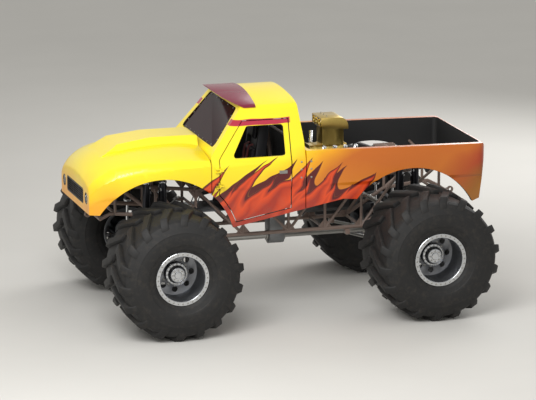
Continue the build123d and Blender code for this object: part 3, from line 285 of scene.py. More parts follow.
def flame_enamel(tree, place):
    """Gloss enamel on glass fibre: clear coat over sprayed colours that run from yellow to red."""
    body = bpy.context.scene.truck.body
    node = partial(add_node, tree)
    x = node("SeparateXYZ", [place], "X")
    z = x.node.outputs["Z"]
    side = node("Math", [x.node.outputs["Y"]], operation="ABSOLUTE")
    # Sprayed fades drift a hand's breadth, so noise of about 0.6 m shifts them
    drift = node("TexNoise", {"Vector": place, "Scale": 1.7, "Detail": 2.0})
    drift = node("Math", [drift, 0.5], operation="SUBTRACT")
    # The main fade: 0 at the tail, 1 at the hood and the roof
    fade = node("Math", [x, 0.17, 0.5], operation="MULTIPLY_ADD")
    above = node("Math", [z, 1.85], operation="SUBTRACT")
    fade = node("Math", [above, 0.26, fade], operation="MULTIPLY_ADD")
    fade = node("Math", [drift, 0.12, fade], operation="MULTIPLY_ADD")
    ground = node("ValToRGB", [fade], stops=[
        (0.0, body.maroon), (0.085, body.red), (0.17, body.orange), (0.42, body.orange),
        (0.5, body.amber), (0.6, body.yellow),
    ])
    # The nose and the wings warm to amber towards their lower edge, and the nose most
    height = node("Math", [drift, 0.5, z], operation="MULTIPLY_ADD")
    low = node("MapRange", [height, 2.05, 1.55])
    forward = node("MapRange", [x, 1.2, 2.5, 0.35, 0.95])
    warmth = node("Math", [low, forward], operation="MULTIPLY")
    ground = node("Mix", [warmth, ground, body.amber], data_type="RGBA")

    # Flame licks rise from the sills and lean back: a saw wave with sharp tops
    def licks(pitch, rise, lean, shift):
        leaned = node("Math", [z, lean, x], operation="MULTIPLY_ADD")
        swept = node("Math", [drift, 0.5, leaned], operation="MULTIPLY_ADD")
        shifted = node("Math", [swept, shift], operation="ADD")
        wave = node("Math", [shifted, pitch / 2], operation="PINGPONG")
        share = node("Math", [wave, pitch / 2], operation="DIVIDE")
        tip = node("Math", [share, 2.0], operation="POWER")
        return node("Math", [tip, rise], operation="MULTIPLY")

    pitch, rise = body.flame_pitch, body.flame_rise
    tall = licks(pitch, rise, 0.95, 5.0)
    short = licks(pitch * 0.43, rise * 0.5, 0.8, 5.13)
    tips = node("Math", [tall, short], operation="MAXIMUM")
    # The licks stand tallest at the doors and fall away towards the nose and the tail
    away = node("Math", [x, 0.2], operation="SUBTRACT")
    spread = node("Math", [away, away], operation="MULTIPLY")
    foot = node("Math", [spread, -0.16, 1.66], operation="MULTIPLY_ADD")
    below = node("Math", [foot, z], operation="SUBTRACT")
    depth = node("Math", [tips, below], operation="ADD")
    inside = node("MapRange", [depth, -0.004, 0.004])
    lick_colour = node("ValToRGB", [depth], stops=[
        (0.0, body.maroon), (0.035, body.maroon), (0.06, body.red), (0.14, body.ember), (0.45, body.red),
    ])
    painted = node("Mix", [inside, ground, lick_colour], data_type="RGBA")
    # Dark licks lie behind the bright ones and show in patches above them
    higher, blur = 0.12, 0.006
    behind = licks(pitch * 0.8, rise * 0.7, 1.1, 5.3)
    behind = node("Math", [behind, below], operation="ADD")
    shadow = node("MapRange", [behind, -higher - blur, blur - higher])
    outside = node("Math", [1.0, inside], operation="SUBTRACT")
    shadow = node("Math", [shadow, outside], operation="MULTIPLY")
    painted = node("Mix", [shadow, painted, body.maroon], data_type="RGBA")
    # A maroon brow runs over the side windows
    brow_height = node("Math", [drift, 0.1, z], operation="MULTIPLY_ADD")
    brow = 1.0
    for value, start, end in (
        (brow_height, 2.57, 2.575), (brow_height, 2.655, 2.65), (side, 0.68, 0.685), (x, -0.02, 0.0),
    ):
        within = node("MapRange", [value, start, end])
        brow = node("Math", [brow, within], operation="MULTIPLY")
    painted = node("Mix", [brow, painted, linear("#B2263F")], data_type="RGBA")
    final, cover = dusty(tree, place, painted, 1.1, 1.75, 0.3)
    rough = node("MapRange", [cover, 0.0, 0.4, 0.3, 0.7])
    # Orange peel of sprayed paint, drawn at 9 mm
    peel = node("TexNoise", {"Vector": place, "Scale": 1000 / 9, "Detail": 1.0})
    coat = {"Coat Weight": 0.35, "Coat Roughness": 0.16}
    close_material(tree, {"Base Color": final, "Roughness": rough, **coat}, peel, 0.04)


def lug_rubber(tree, place):
    """Black natural rubber, moulded: a dull sheen on the tops, dry soil between the lugs."""
    tyres = bpy.context.scene.truck.tyres
    speckle = {"Vector": place, "Scale": 14.0, "Detail": 8.0, "Roughness": 0.7}
    patches = add_node(tree, "MapRange", [add_node(tree, "TexNoise", speckle), 0.5, 0.8, 0.01, 0.14])
    soiled = add_node(tree, "Mix", [patches, tyres.rubber, tyres.dust], data_type="RGBA")
    # Scuffed rubber has a grain of about 3 mm
    grain = add_node(tree, "TexNoise", {"Vector": place, "Scale": 1000 / 3, "Detail": 2.0})
    close_material(tree, {"Base Color": soiled, "Roughness": 0.66}, grain, 0.3, depth_mm=2)


def tinted_sheet(tree, place):
    """Polycarbonate sheet, smoked: dark reddish tint with a clear gloss and a few hazy patches."""
    haze = add_node(tree, "TexNoise", {"Vector": place, "Scale": 6.0, "Detail": 4.0})
    rough = add_node(tree, "MapRange", [haze, 0.0, 1.0, 0.1, 0.24])
    clear = {"IOR": 1.22, "Transmission Weight": 0.3}
    close_material(tree, {"Base Color": linear("#2A040A"), "Roughness": rough, **clear})


def lamp_glass(tree, place):
    """Pressed soda glass: clear, with flutes some 12 mm apart that blur the bowl behind it."""
    bands = {"Vector": place, "Scale": 1 / 0.012 / 3.14, "Distortion": 0.0}
    flutes = add_node(tree, "TexWave", bands, "Fac", bands_direction="Y")
    clear = {"IOR": 1.5, "Transmission Weight": 1.0}
    close_material(
        tree, {"Base Color": linear("#F4F6F7"), "Roughness": 0.03, **clear}, flutes, 0.2, depth_mm=2
    )


def webbing(tree, place):
    """Nylon webbing, woven: a diagonal weave of 3 mm ribs, drawn twice as coarse so that it shows."""
    bands = {"Vector": place, "Scale": 1 / 0.006 / 3.14, "Distortion": 0.6, "Detail": 1.0}
    weave = add_node(tree, "TexWave", bands, "Fac", bands_direction="DIAGONAL")
    # The grooves between the ribs are darker: painted shade, from the same wave as the bump
    shade = add_node(tree, "MapRange", [weave, 0.0, 1.0, 0.7, 1.1])
    red = bpy.context.scene.truck.cockpit.webbing
    tone = add_node(tree, "Mix", [1.0, red, shade], data_type="RGBA", blend_type="MULTIPLY")
    close_material(tree, {"Base Color": tone, "Roughness": 0.75, "Sheen Weight": 0.2}, weave, 0.5)


def floor_paint(tree, place):
    """Matt floor paint, rolled: a faint mottle keeps the studio's floor from looking printed."""
    mottle = add_node(tree, "TexNoise", {"Vector": place, "Scale": 0.8})
    soft = add_node(tree, "MapRange", [mottle, 0.0, 1.0, 0.97, 1.03])
    pale = bpy.context.scene.truck.stage.floor
    tone = add_node(tree, "Mix", [1.0, pale, soft], data_type="RGBA", blend_type="MULTIPLY")
    close_material(tree, {"Base Color": tone, "Roughness": 0.9})


# Each finish: its tint, roughness, metallic share, grain in millimetres, bump and share of dust.
# A tint is a hex colour, the setting that holds it, or a function that draws it.
FINISHES = {
    # Glass fibre rolled with black resin: strands of the mat show as a coarse mottle. Its near-black on
    # the shell's insides is also painted shade for the unlit cab and bed
    "black_glass_fibre_and_painted_shade": ("#1B1B1C", 0.62, 0.0, 16, 0.6, 0.2),
    # Sprayed enamel: a deep gloss with slight orange peel
    "maroon_enamel": ("body.visor", 0.26, 0.0, 9, 0.05, 0.0),
    # Moulded plastic: even, half dull, with a fine spark-eroded grain
    "moulded_black_trim": ("#17171A", 0.45, 0.0, 3, 0.2, 0.15),
    # Aluminium vapour on a moulded bowl: a mirror that is slightly soft
    "vacuum_plated_bowl": ("#F2F2F2", 0.18, 1.0, 20, 0.02, 0.0),
    # Zinc plate, duller on small pressed heads, a little brighter on machined bolts and drawn tube
    "zinc_plated_fastener": ("metals.plated", 0.35, 1.0, 3, 0.1, 0.1),
    "zinc_plated_bolt": ("metals.plated", 0.3, 1.0, 3, 0.1, 0.15),
    "zinc_plated_steel_tube": ("metals.plated", 0.32, 1.0, 5, 0.1),
    # Cast aluminium, blasted and sealed: a satin grey that takes the light softly
    "satin_cast_aluminium": ("metals.wheel", 0.36, 1.0, 4, 0.15, 0.2),
    # Turned aluminium: bright, with the tool's marks as a tight grain
    "machined_aluminium": ("metals.bright", 0.22, 1.0, 2, 0.12, 0.15),
    "machined_shock_cap": ("metals.bright", 0.24, 1.0, 2, 0.12),
    # Buffed aluminium: nearly a mirror, faintly uneven
    "polished_aluminium": ("metals.bright", 0.14, 1.0, 8, 0.05, 0.05),
    # Sand-cast aluminium left rough: dull, with a pebbled skin
    "as_cast_aluminium": ("#8C8E90", 0.5, 1.0, 3, 0.4),
    # Brushed aluminium sheet: a soft, grey light on flat panels
    "brushed_aluminium_sheet": ("#9A9C9F", 0.4, 1.0, 3, 0.1),
    # Anodised aluminium: the dye's colour under a hard satin skin
    "anodised_shock_body": ("#3D3E43", 0.3, 1.0, 5, 0.08),
    "gold_anodised_case": ("metals.blower", 0.28, 1.0, 6, 0.1, 0.1),
    # Paint brushed over sand-cast iron: the casting's grain shows through the half gloss
    "painted_iron_casting": ("metals.iron", 0.5, 0.3, 3, 0.3),
    "engine_enamel": ("metals.iron", 0.4, 0.3, 4, 0.2),
    "axle_enamel": ("metals.axle_enamel", 0.35, 0.2, 6, 0.15),
    # Powder coat baked on tube: an even satin with a fine peel
    "satin_powder_coat": ("metals.frame_coat", 0.4, 0.0, 7, 0.12),
    # Hard chrome, ground and polished: sharp reflections and nothing else
    "hard_chrome_rod": ("metals.chrome", 0.12, 1.0, 8, 0.02, 0.05),
    # Bright chrome on exhaust tube: the heat's straw and blue over a mirror gone slightly soft
    "heat_tinted_chrome": (heat_colours, 0.2, 1.0, 12, 0.05, 0.1),
    # Ground steel: bright where the pads wipe it, with scratches as a strong fine grain
    "ground_brake_disc": ("#8D8C8A", 0.28, 1.0, 2, 0.3, 0.1),
    # Rubber belt with a fabric back: flat black with a coarse tooth
    "neoprene_belt": ("#1A1A1B", 0.6, 0.0, 4, 0.4, 0.1),
    # Laid-up shell with textured paint: a dry, sandy black
    "textured_seat_shell": ("#202023", 0.5, 0.0, 2, 0.3, 0.05),
    # Vinyl cloth, embossed: a leather grain that catches small lights
    "grained_vinyl": ("cockpit.vinyl", 0.5, 0.0, 2, 0.5, 0.0),
    # Suede, brushed: next to no gloss
    "suede_grip": ("#232325", 0.85, 0.0, 2, 0.4, 0.0),
}
DRAWN = {
    "gloss_enamel_on_glass_fibre": flame_enamel,
    "moulded_black_rubber": lug_rubber,
    "smoked_polycarbonate": tinted_sheet,
    "pressed_lamp_glass": lamp_glass,
    "woven_nylon_webbing": webbing,
    "matt_studio_floor": floor_paint,
}


def finish(name):
    """The material of this name, made when the first piece asks for it."""
    if name in bpy.data.materials:
        return bpy.data.materials[name]
    material = bpy.data.materials.new(name)
    material.use_nodes = True
    tree = material.node_tree
    tree.nodes.clear()
    place = add_node(tree, "TexCoord", result="Object")
    if name in DRAWN:
        DRAWN[name](tree, place)
    else:
        grained(tree, place, *FINISHES[name])
    return material


def select_only(*pieces):
    """Leaves edit mode and selects these objects and nothing else."""
    if bpy.context.object and bpy.context.object.mode != "OBJECT":
        bpy.ops.object.mode_set(mode="OBJECT")
    bpy.ops.object.select_all(action="DESELECT")
    for piece in pieces:
        piece.select_set(True)
    if pieces:
        bpy.context.view_layer.objects.active = pieces[0]


def start_edit(piece):
    """Goes into edit mode on one object with all of its mesh selected."""
    select_only(piece)
    bpy.ops.object.mode_set(mode="EDIT")
    bpy.ops.mesh.select_mode(type="VERT")
    bpy.ops.mesh.select_all(action="SELECT")


def select_faces(test):
    """Selects the faces whose centre and normal pass the test, and nothing else."""
    bpy.ops.mesh.select_mode(type="FACE")
    bpy.ops.mesh.select_all(action="DESELECT")
    mesh = bmesh.from_edit_mesh(bpy.context.object.data)
    for face in mesh.faces:
        face.select_set(bool(test(face.calc_center_median(), face.normal)))
    bmesh.update_edit_mesh(bpy.context.object.data)


def finish_faces(piece, material, test):
    """Gives another finish to the faces whose centre and normal pass the test."""
    piece.data.materials.append(finish(material))
    start_edit(piece)
    select_faces(test)
    piece.active_material_index = len(piece.data.materials) - 1
    bpy.ops.object.material_slot_assign()
    bpy.ops.object.mode_set(mode="OBJECT")


def pressed(piece, axis, lift, *insets):
    """Insets the faces that look along an axis, once for each width, and moves them along it."""
    start_edit(piece)
    select_faces(lambda centre, normal: normal.dot(axis) > 0.9)
    for inset in insets:
        bpy.ops.mesh.inset(thickness=inset)
    bpy.ops.transform.translate(value=axis * lift)
    bpy.ops.object.mode_set(mode="OBJECT")
    return piece


def add_piece(operator, **settings):
    """Adds a primitive at its size and place with nothing else selected, and returns its object."""
    select_only()
    operator(**settings)
    piece = bpy.context.object
    bpy.ops.object.transform_apply(location=True, rotation=True, scale=True)
    return piece


def facing(axis):
    """The rotation that turns a primitive's height along an axis."""
    return axis.to_track_quat("Z", "Y").to_euler()


def chain(points):
    """A line of edges through the points, left in edit mode with all of it selected."""
    piece = add_piece(bpy.ops.mesh.primitive_plane_add, size=0.001, location=points[0])
    start_edit(piece)
    bpy.ops.mesh.merge(type="CENTER")
    for start, end in zip(points, points[1:]):
        bpy.ops.mesh.extrude_region_move(TRANSFORM_OT_translate={"value": end - start})
    bpy.ops.mesh.select_all(action="SELECT")
    return piece


def turned(profile, centre, along=ALONG_Y, out=ALONG_X, steps=64):
    """Spins a profile, given as distances along the axis and radii, round the axis."""
    piece = chain([centre + along * reach + out * radius for reach, radius in profile])
    bpy.ops.mesh.spin(steps=steps, angle=math.tau, center=centre, axis=along)
    close_shape()
    return piece


def plate(points, thickness):
    """A flat plate between an outline and the same outline moved by the thickness."""
    piece = chain([*points, points[0]])
    bpy.ops.mesh.remove_doubles(threshold=MERGE_DISTANCE)
    bpy.ops.mesh.edge_face_add()
    bpy.ops.mesh.extrude_region_move(TRANSFORM_OT_translate={"value": thickness})
    close_shape()
    return piece


def strap(points, across, thickness):
    """A flat band along the points, as wide as the vector across it."""
    piece = chain([point - across / 2 for point in points])
    bpy.ops.mesh.extrude_region_move(TRANSFORM_OT_translate={"value": across})
    close_shape()
    return modified(piece, "SOLIDIFY", thickness=thickness, offset=0.0)


def modified(piece, kind, **settings):
    """Gives a piece a modifier with its settings and applies it."""
    select_only(piece)
    modifier = piece.modifiers.new(kind.lower(), kind)
    for name, value in settings.items():
        setattr(modifier, name, value)
    bpy.ops.object.modifier_apply(modifier=modifier.name)
    return piece


def rounded(piece, width, segments=2, angle=40):
    """Rounds the edges of a piece that are sharper than the angle."""
    return modified(
        piece, "BEVEL", width=width, segments=segments, limit_method="ANGLE",
        angle_limit=math.radians(angle), use_clamp_overlap=True,
    )


def close_shape():
    """Merges doubles, turns all faces outwards and goes back to object mode."""
    bpy.ops.mesh.select_all(action="SELECT")
    bpy.ops.mesh.remove_doubles(threshold=MERGE_DISTANCE)
    bpy.ops.mesh.normals_make_consistent(inside=False)
    bpy.ops.object.mode_set(mode="OBJECT")


def rotate_selection(angle, axis, centre):
    """Turns what is selected in edit mode about an axis through a point."""
    bpy.ops.transform.rotate(value=angle, orient_axis=axis, orient_type="GLOBAL", center_override=centre)


def ringed(piece, number, axis, centre):
    """Copies a piece's mesh round an axis, so that the number of copies fills the circle."""
    start_edit(piece)
    for _ in range(number - 1):
        bpy.ops.mesh.duplicate()
        rotate_selection(math.tau / number, axis, centre)
    bpy.ops.object.mode_set(mode="OBJECT")
    return piece


def joined(pieces):
    """Joins objects into the first one."""
    select_only(*pieces)
    if len(pieces) > 1:
        bpy.ops.object.join()
    return pieces[0]


def copied(piece, matrix=Matrix.Identity(4)):
    """A copy with its own mesh, moved by a matrix that is then applied."""
    select_only(piece)
    bpy.ops.object.duplicate()
    twin = bpy.context.object
    twin.matrix_world = matrix @ twin.matrix_world
    bpy.ops.object.transform_apply(location=True, rotation=True, scale=True)
    if matrix.determinant() < 0:
        start_edit(twin)
        close_shape()
    return twin


def both_sides(piece):
    """Joins a left-hand piece with its copy on the right."""
    return joined([piece, copied(piece, TO_RIGHT)])


def mirrored(half):
    """A profile whose second half is its first one, turned round at the middle of the axis."""
    return half + [(-reach, radius) for reach, radius in reversed(half)]


def to_corner(end, side):
    """The move from the front left corner, where tyre and wheel are made, to one of the four."""
    to_end = Matrix.Identity(4) if end == "front" else Matrix.Translation((-2 * half_base, 0, 0))
    return TO_RIGHT @ to_end if side == "right" else to_end


def hex_bolt(foot, axis, size):
    """A hexagonal bolt head with a chamfered top on a round flange. The size is its radius."""
    rows = (
        # sides, then in bolt sizes: radius, depth, place of the middle, rise and width of the chamfer
        (6, 1.0, 1.0, 0.5, 0.1, 0.16),
        (12, 1.35, 0.3, 0.1, 0.08, 0.12),
    )
    parts = []
    for sides, wide, tall, middle, lift, inset in rows:
        part = add_piece(
            bpy.ops.mesh.primitive_cylinder_add, vertices=sides, radius=size * wide, depth=size * tall,
            location=foot + axis * size * middle, rotation=facing(axis),
        )
        parts.append(pressed(part, axis, size * lift, size * inset))
    return joined(parts)


def bolt_circle(centre, axis, out, radius, size, number, letter):
    """Bolts spread evenly round an axis, which the letter names."""
    return ringed(hex_bolt(centre + out * radius, axis, size), number, letter, centre)


def finish_piece(piece, name, body, material, smooth=35, stands_for=()):
    """Names a piece, gives it its material and lets it ride on its body."""
    piece.name = name
    piece.data.name = name
    piece.data.materials.clear()
    piece.data.materials.append(finish(material))
    select_only(piece)
    bpy.ops.object.shade_smooth_by_angle(angle=math.radians(smooth))
    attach(piece, body)
    if stands_for:
        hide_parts(*stands_for)
    return piece


def finish_ends(front, name, node, material, replaces=False):
    """Finishes a front piece and its copy at the rear, each on the body of its own end's node."""
    rear = copied(front, TO_REAR)
    for end, piece in (("front", front), ("rear", rear)):
        own = f"{node}_{end}"
        stands_for = [own] if replaces else ()
        finish_piece(piece, f"{name}_{end}", PIECE_BODIES[own], material, stands_for=stands_for)


def dressed(node, material, edge=0.0, smooth=35):
    """A copy of a CAD node with its doubles merged and its edges rounded, which stands for the node."""
    select_only(frame["nodes"][node])
    bpy.ops.object.duplicate()
    piece = bpy.context.object
    del piece["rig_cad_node"]
    start_edit(piece)
    bpy.ops.mesh.remove_doubles(threshold=MERGE_DISTANCE)
    bpy.ops.object.mode_set(mode="OBJECT")
    if edge:
        rounded(piece, edge)
    name = node + "_dressed"
    return finish_piece(piece, name, PIECE_BODIES[node], material, smooth=smooth, stands_for=[node])


class TRUCK_OT_camera(bpy.types.Operator):
    """Place the camera at the photograph's viewing angle"""

    bl_idname = "truck.camera"
    bl_label = "Camera"

    def execute(self, context):
        settings = context.scene.truck.camera
        aim = Vector((settings.aim_x, 0, settings.aim_z))
        back = Vector((
            math.sin(settings.azimuth) * math.cos(settings.elevation),
            -math.cos(settings.azimuth) * math.cos(settings.elevation),
            math.sin(settings.elevation),
        ))
        select_only()
        bpy.ops.object.camera_add(location=aim + back * settings.distance)
        camera = context.object
        camera.name = "photo_camera"
        camera.rotation_euler = back.to_track_quat("Z", "Y").to_euler()
        camera.data.lens = settings.lens
        camera.data.clip_end = 400
        context.scene.camera = camera
        return {"FINISHED"}


class TRUCK_OT_stage(bpy.types.Operator):
    """Build the pale floor, the backdrop's light and the soft lamps"""

    bl_idname = "truck.stage"
    bl_label = "Stage"

    def execute(self, context):
        settings = context.scene.truck.stage
        context.scene.view_settings.view_transform = "Standard"
        floor = add_piece(bpy.ops.mesh.primitive_plane_add, size=240)
        floor.name = "studio_floor"
        floor.data.materials.append(finish("matt_studio_floor"))

        world = bpy.data.worlds.new("studio_world")
        context.scene.world = world
        world.use_nodes = True
        tree = world.node_tree
        tree.nodes.clear()
        # The backdrop is seen at one strength and lights the truck at another
        seen = add_node(tree, "LightPath", result="Is Camera Ray")
        rays = seen.node.outputs
        for name in ("Is Glossy Ray", "Is Transmission Ray"):
            seen = add_node(tree, "Math", [seen, rays[name]], operation="MAXIMUM")
        strength = add_node(tree, "MapRange", [seen, 0.0, 1.0, settings.sky_strength, 0.9])
        sky = add_node(tree, "Background", {"Color": settings.sky, "Strength": strength})
        add_node(tree, "OutputWorld", {"Surface": sky})

        # The key lamp hangs over the camera's left shoulder, the fill lamp over the nose's far side
        truck_middle = Vector((0, 0, 1.3))
        for name, spot, size, power in (
            ("key", (5.5, 9.0, 9.0), 7.0, settings.key_power),
            ("fill", (-8.0, -7.0, 7.0), 8.0, settings.fill_power),
        ):
            select_only()
            bpy.ops.object.light_add(type="AREA", location=spot)
            lamp = context.object
            lamp.name = name + "_lamp"
            lamp.data.size = size
            lamp.data.energy = power
            lamp.rotation_euler = facing(Vector(spot) - truck_middle)
        return {"FINISHED"}


class TRUCK_OT_shell(bpy.types.Operator):
    """Dress the moulded body shell and its windshield"""

    bl_idname = "truck.shell"
    bl_label = "Body shell"

    def execute(self, context):
        edge = context.scene.truck.body.edge
        # Each panel's inside faces a point in the middle of the shell
        middles = {"front_clip": (1.75, 0, 1.7), "bed": (-1.5, 0, 1.55)}
        for node in ("cab", "door_left", "door_right", "front_clip", "bed"):
            piece = dressed(node, "gloss_enamel_on_glass_fibre", edge, smooth=32)
            middle = Vector(middles.get(node, (0.45, 0, 1.95)))
            # The inside faces get black glass fibre, whose near-black is also painted shade for the unlit
            # inside of the cab and the bed
            finish_faces(
                piece, "black_glass_fibre_and_painted_shade",
                lambda centre, normal: normal.dot(centre - middle) < -0.02,
            )
            modified(piece, "WEIGHTED_NORMAL", keep_sharp=True, weight=60)
        dressed("windshield", "smoked_polycarbonate", smooth=32)
        dressed("visor", "maroon_enamel", 0.004, smooth=32)
        return {"FINISHED"}


class TRUCK_OT_trim(bpy.types.Operator):
    """Fit the grille, the headlamps, the tailgate's panel, the fasteners and the latches"""

    bl_idname = "truck.trim"
    bl_label = "Trim"

    def execute(self, context):
        dressed("grille", "moulded_black_trim", 0.002)
        self.headlamps()
        self.tailgate()
        self.fasteners()
        self.screws()
        self.latches()
        return {"FINISHED"}

    def headlamps(self):
        """A bright bowl, a bulb and a domed lens in a black bezel on each side."""
        radius = (lamp_high.z - lamp_low.z) / 2
        centre = Vector((lamp_high.x, lamp_high.y - radius, (lamp_low.z + lamp_high.z) / 2))
        bezel = turned(
            [(-0.03, radius), (-0.001, radius), (0.0, radius - 0.003), (-0.001, radius - 0.012),
             (-0.006, radius - 0.014), (-0.03, radius - 0.012)],
            centre, ALONG_X, UP,
        )
        bowl = turned(
            [(-0.012, radius - 0.013), (-0.04, radius - 0.022), (-0.066, radius * 0.55),
             (-0.085, 0.02), (-0.088, 0.0), (-0.09, 0.021), (-0.07, radius * 0.6),
             (-0.042, radius - 0.018), (-0.012, radius - 0.011)],
            centre, ALONG_X, UP, 48,
        )
        bulb = turned(
            [(-0.088, 0.012), (-0.055, 0.012), (-0.05, 0.009), (-0.036, 0.009), (-0.03, 0.005),
             (-0.029, 0.0)],
            centre, ALONG_X, UP, 24,
        )
        lens = turned(
            [(-0.009, radius - 0.014), (-0.004, radius * 0.6), (-0.001, radius * 0.3), (0.0, 0.0),
             (-0.004, 0.0), (-0.005, radius * 0.3), (-0.008, radius * 0.6), (-0.013, radius - 0.014)],
            centre, ALONG_X, UP, 48,
        )
        rows = (
            # pieces of one lamp, name, material, slot, node that they stand for
            ([bezel], "headlamp_bezels", "moulded_black_trim", "grille_trim", ["headlamps"]),
            ([bowl, bulb], "headlamp_bowls", "vacuum_plated_bowl", "wheel_metal", ()),
            ([lens], "headlamp_lenses", "pressed_lamp_glass", "lamp_glass", ()),
        )
        for pieces, name, material, slot, stands_for in rows:
            pair = both_sides(joined(pieces))
            finish_piece(pair, name, CHASSIS, material, stands_for=stands_for)

    def tailgate(self):
        """A raised pressing on the leaning tail, with softened corners."""
        tail_top, tail_foot = Vector((-2.7, 0, 2.105)), Vector((-2.61, 0, 1.42))
        down = (tail_foot - tail_top).normalized()
        out = Vector((down.z, 0, -down.x))
        sunk = out * -0.002
        half = ALONG_Y * 0.6
        top, foot = tail_top + down * 0.09 + sunk, tail_foot - down * 0.12 + sunk
        panel = plate([top - half, top + half, foot + half, foot - half], out * 0.008)
        rounded(pressed(panel, out, -0.005, 0.05, 0.012), 0.003)
        finish_piece(panel, "tailgate_pressing", CHASSIS, "gloss_enamel_on_glass_fibre")

    def fasteners(self):
        """Quarter-turn fasteners in rows along the seams between the shell's panels."""
        profile = [(-0.002, 0.0), (-0.002, 0.013), (0.002, 0.013), (0.0035, 0.011), (0.0035, 0.004),
                   (0.0015, 0.0035), (0.0015, 0.0)]
        buttons = []
        # place along the truck, the shell's half width there, heights
        for x, y, heights in (
            (-0.255, 0.955, (1.86, 1.97, 2.07)),
            (-0.12, 0.955, (1.86, 1.97, 2.07)),
            (1.165, 0.9535, (1.92, 2.02)),
        ):
            buttons += [turned(profile, Vector((x, y, z)), ALONG_Y, UP, 16) for z in heights]
        pair = both_sides(joined(buttons))
        finish_piece(pair, "panel_fasteners", CHASSIS, "zinc_plated_fastener")

    def screws(self):
        """Round-headed screws on washers along the windshield's edge."""
        low, high = corners_of("windshield")
        foot, head = Vector((high.x, 0, low.z)), Vector((low.x + 0.018, 0, high.z))
        up = (head - foot).normalized()
        out = Vector((up.z, 0, -up.x))
        # The screws stand this far inside the sheet's edge, and its sides lean in by this much
        inset, taper = 0.022, 0.146
        spots = [foot + up * inset + ALONG_Y * y for y in (-0.6, -0.4, -0.2, 0.0, 0.2, 0.4, 0.6)]
        spots += [head - up * inset + ALONG_Y * y for y in (-0.5, -0.25, 0.0, 0.25, 0.5)]
        for share in (0.2, 0.4, 0.6, 0.8):
            reach = high.y - taper * share - inset
            spots += [foot.lerp(head, share) + ALONG_Y * y for y in (-reach, reach)]
        profile = [(-0.001, 0.0), (-0.001, 0.0105), (0.0006, 0.0105), (0.0008, 0.0075), (0.003, 0.0075),
                   (0.0045, 0.0045), (0.0035, 0.002), (0.0035, 0.0)]
        screws = joined([turned(profile, spot, out, ALONG_Y, 16) for spot in spots])
        finish_piece(screws, "windshield_screws", CHASSIS, "zinc_plated_fastener")

    def latches(self):
        """A flush paddle latch at the rear edge of each door."""
        low = Vector((0.075, 0.9545, 1.93))
        width, height = ALONG_X * 0.11, UP * 0.045
        left = plate([low, low + width, low + width + height, low + height], ALONG_Y * 0.006)
        rounded(pressed(left, ALONG_Y, -0.003, 0.008), 0.002)
        right = copied(left, TO_RIGHT)
        for side, paddle in (("left", left), ("right", right)):
            body = PIECE_BODIES[f"door_{side}"]
            finish_piece(paddle, f"door_latch_{side}", body, "zinc_plated_fastener")


# How far a lug runs outwards at each step, and how much it drops there with the shoulder
LUG_STEPS = ((0.105, 0.0), (0.105, 0.0), (0.105, 0.0), (0.098, 0.0), (0.05, 0.052), (0.036, 0.066))
# The tread's lugs end this far inside the tyre's box, and their foot is sunk into the carcass
TREAD_CLEARANCE = 0.002
LUG_ROOT = 0.02


def lug_shape(tyres):
    """One lug of the left half of the tread: a bar that turns about the axle as it runs outwards."""
    middle = wheel_radius - TREAD_CLEARANCE - (tyres.lug_height + LUG_ROOT) / 2
    from_middle, top_share, foot_share = 0.013, 0.94, 1.16
    root = hub + Vector((0, from_middle, middle))
    lug = add_piece(bpy.ops.mesh.primitive_plane_add, size=1, location=root, rotation=(math.pi / 2, 0, 0))
    start_edit(lug)
    section = (tyres.lug_width * top_share, 1, tyres.lug_height + LUG_ROOT)
    bpy.ops.transform.resize(value=section, center_override=root)
    # The flanks lean out towards the root
    mesh = bmesh.from_edit_mesh(lug.data)
    for vertex in mesh.verts:
        vertex.select_set(vertex.co.z < root.z)
    bmesh.update_edit_mesh(lug.data)
    bpy.ops.transform.resize(value=(foot_share, 1, 1), center_override=root)
    bpy.ops.mesh.select_all(action="SELECT")
    rotate_selection(-tyres.lug_start, "Y", hub)
    width = sum(outwards for outwards, _ in LUG_STEPS)
    for outwards, drop in LUG_STEPS:
        bpy.ops.mesh.extrude_region_move(TRANSFORM_OT_translate={"value": (0, outwards, 0)})
        mesh = bmesh.from_edit_mesh(lug.data)
        picked = [v.co for v in mesh.verts if v.select]
        inwards = hub - sum(picked, Vector()) / len(picked)
        inwards.y = 0
        bpy.ops.transform.translate(value=inwards.normalized() * drop)
        rotate_selection(-tyres.lug_turn * outwards / width, "Y", hub)
    close_shape()
    return rounded(lug, 0.008, 2, 35)


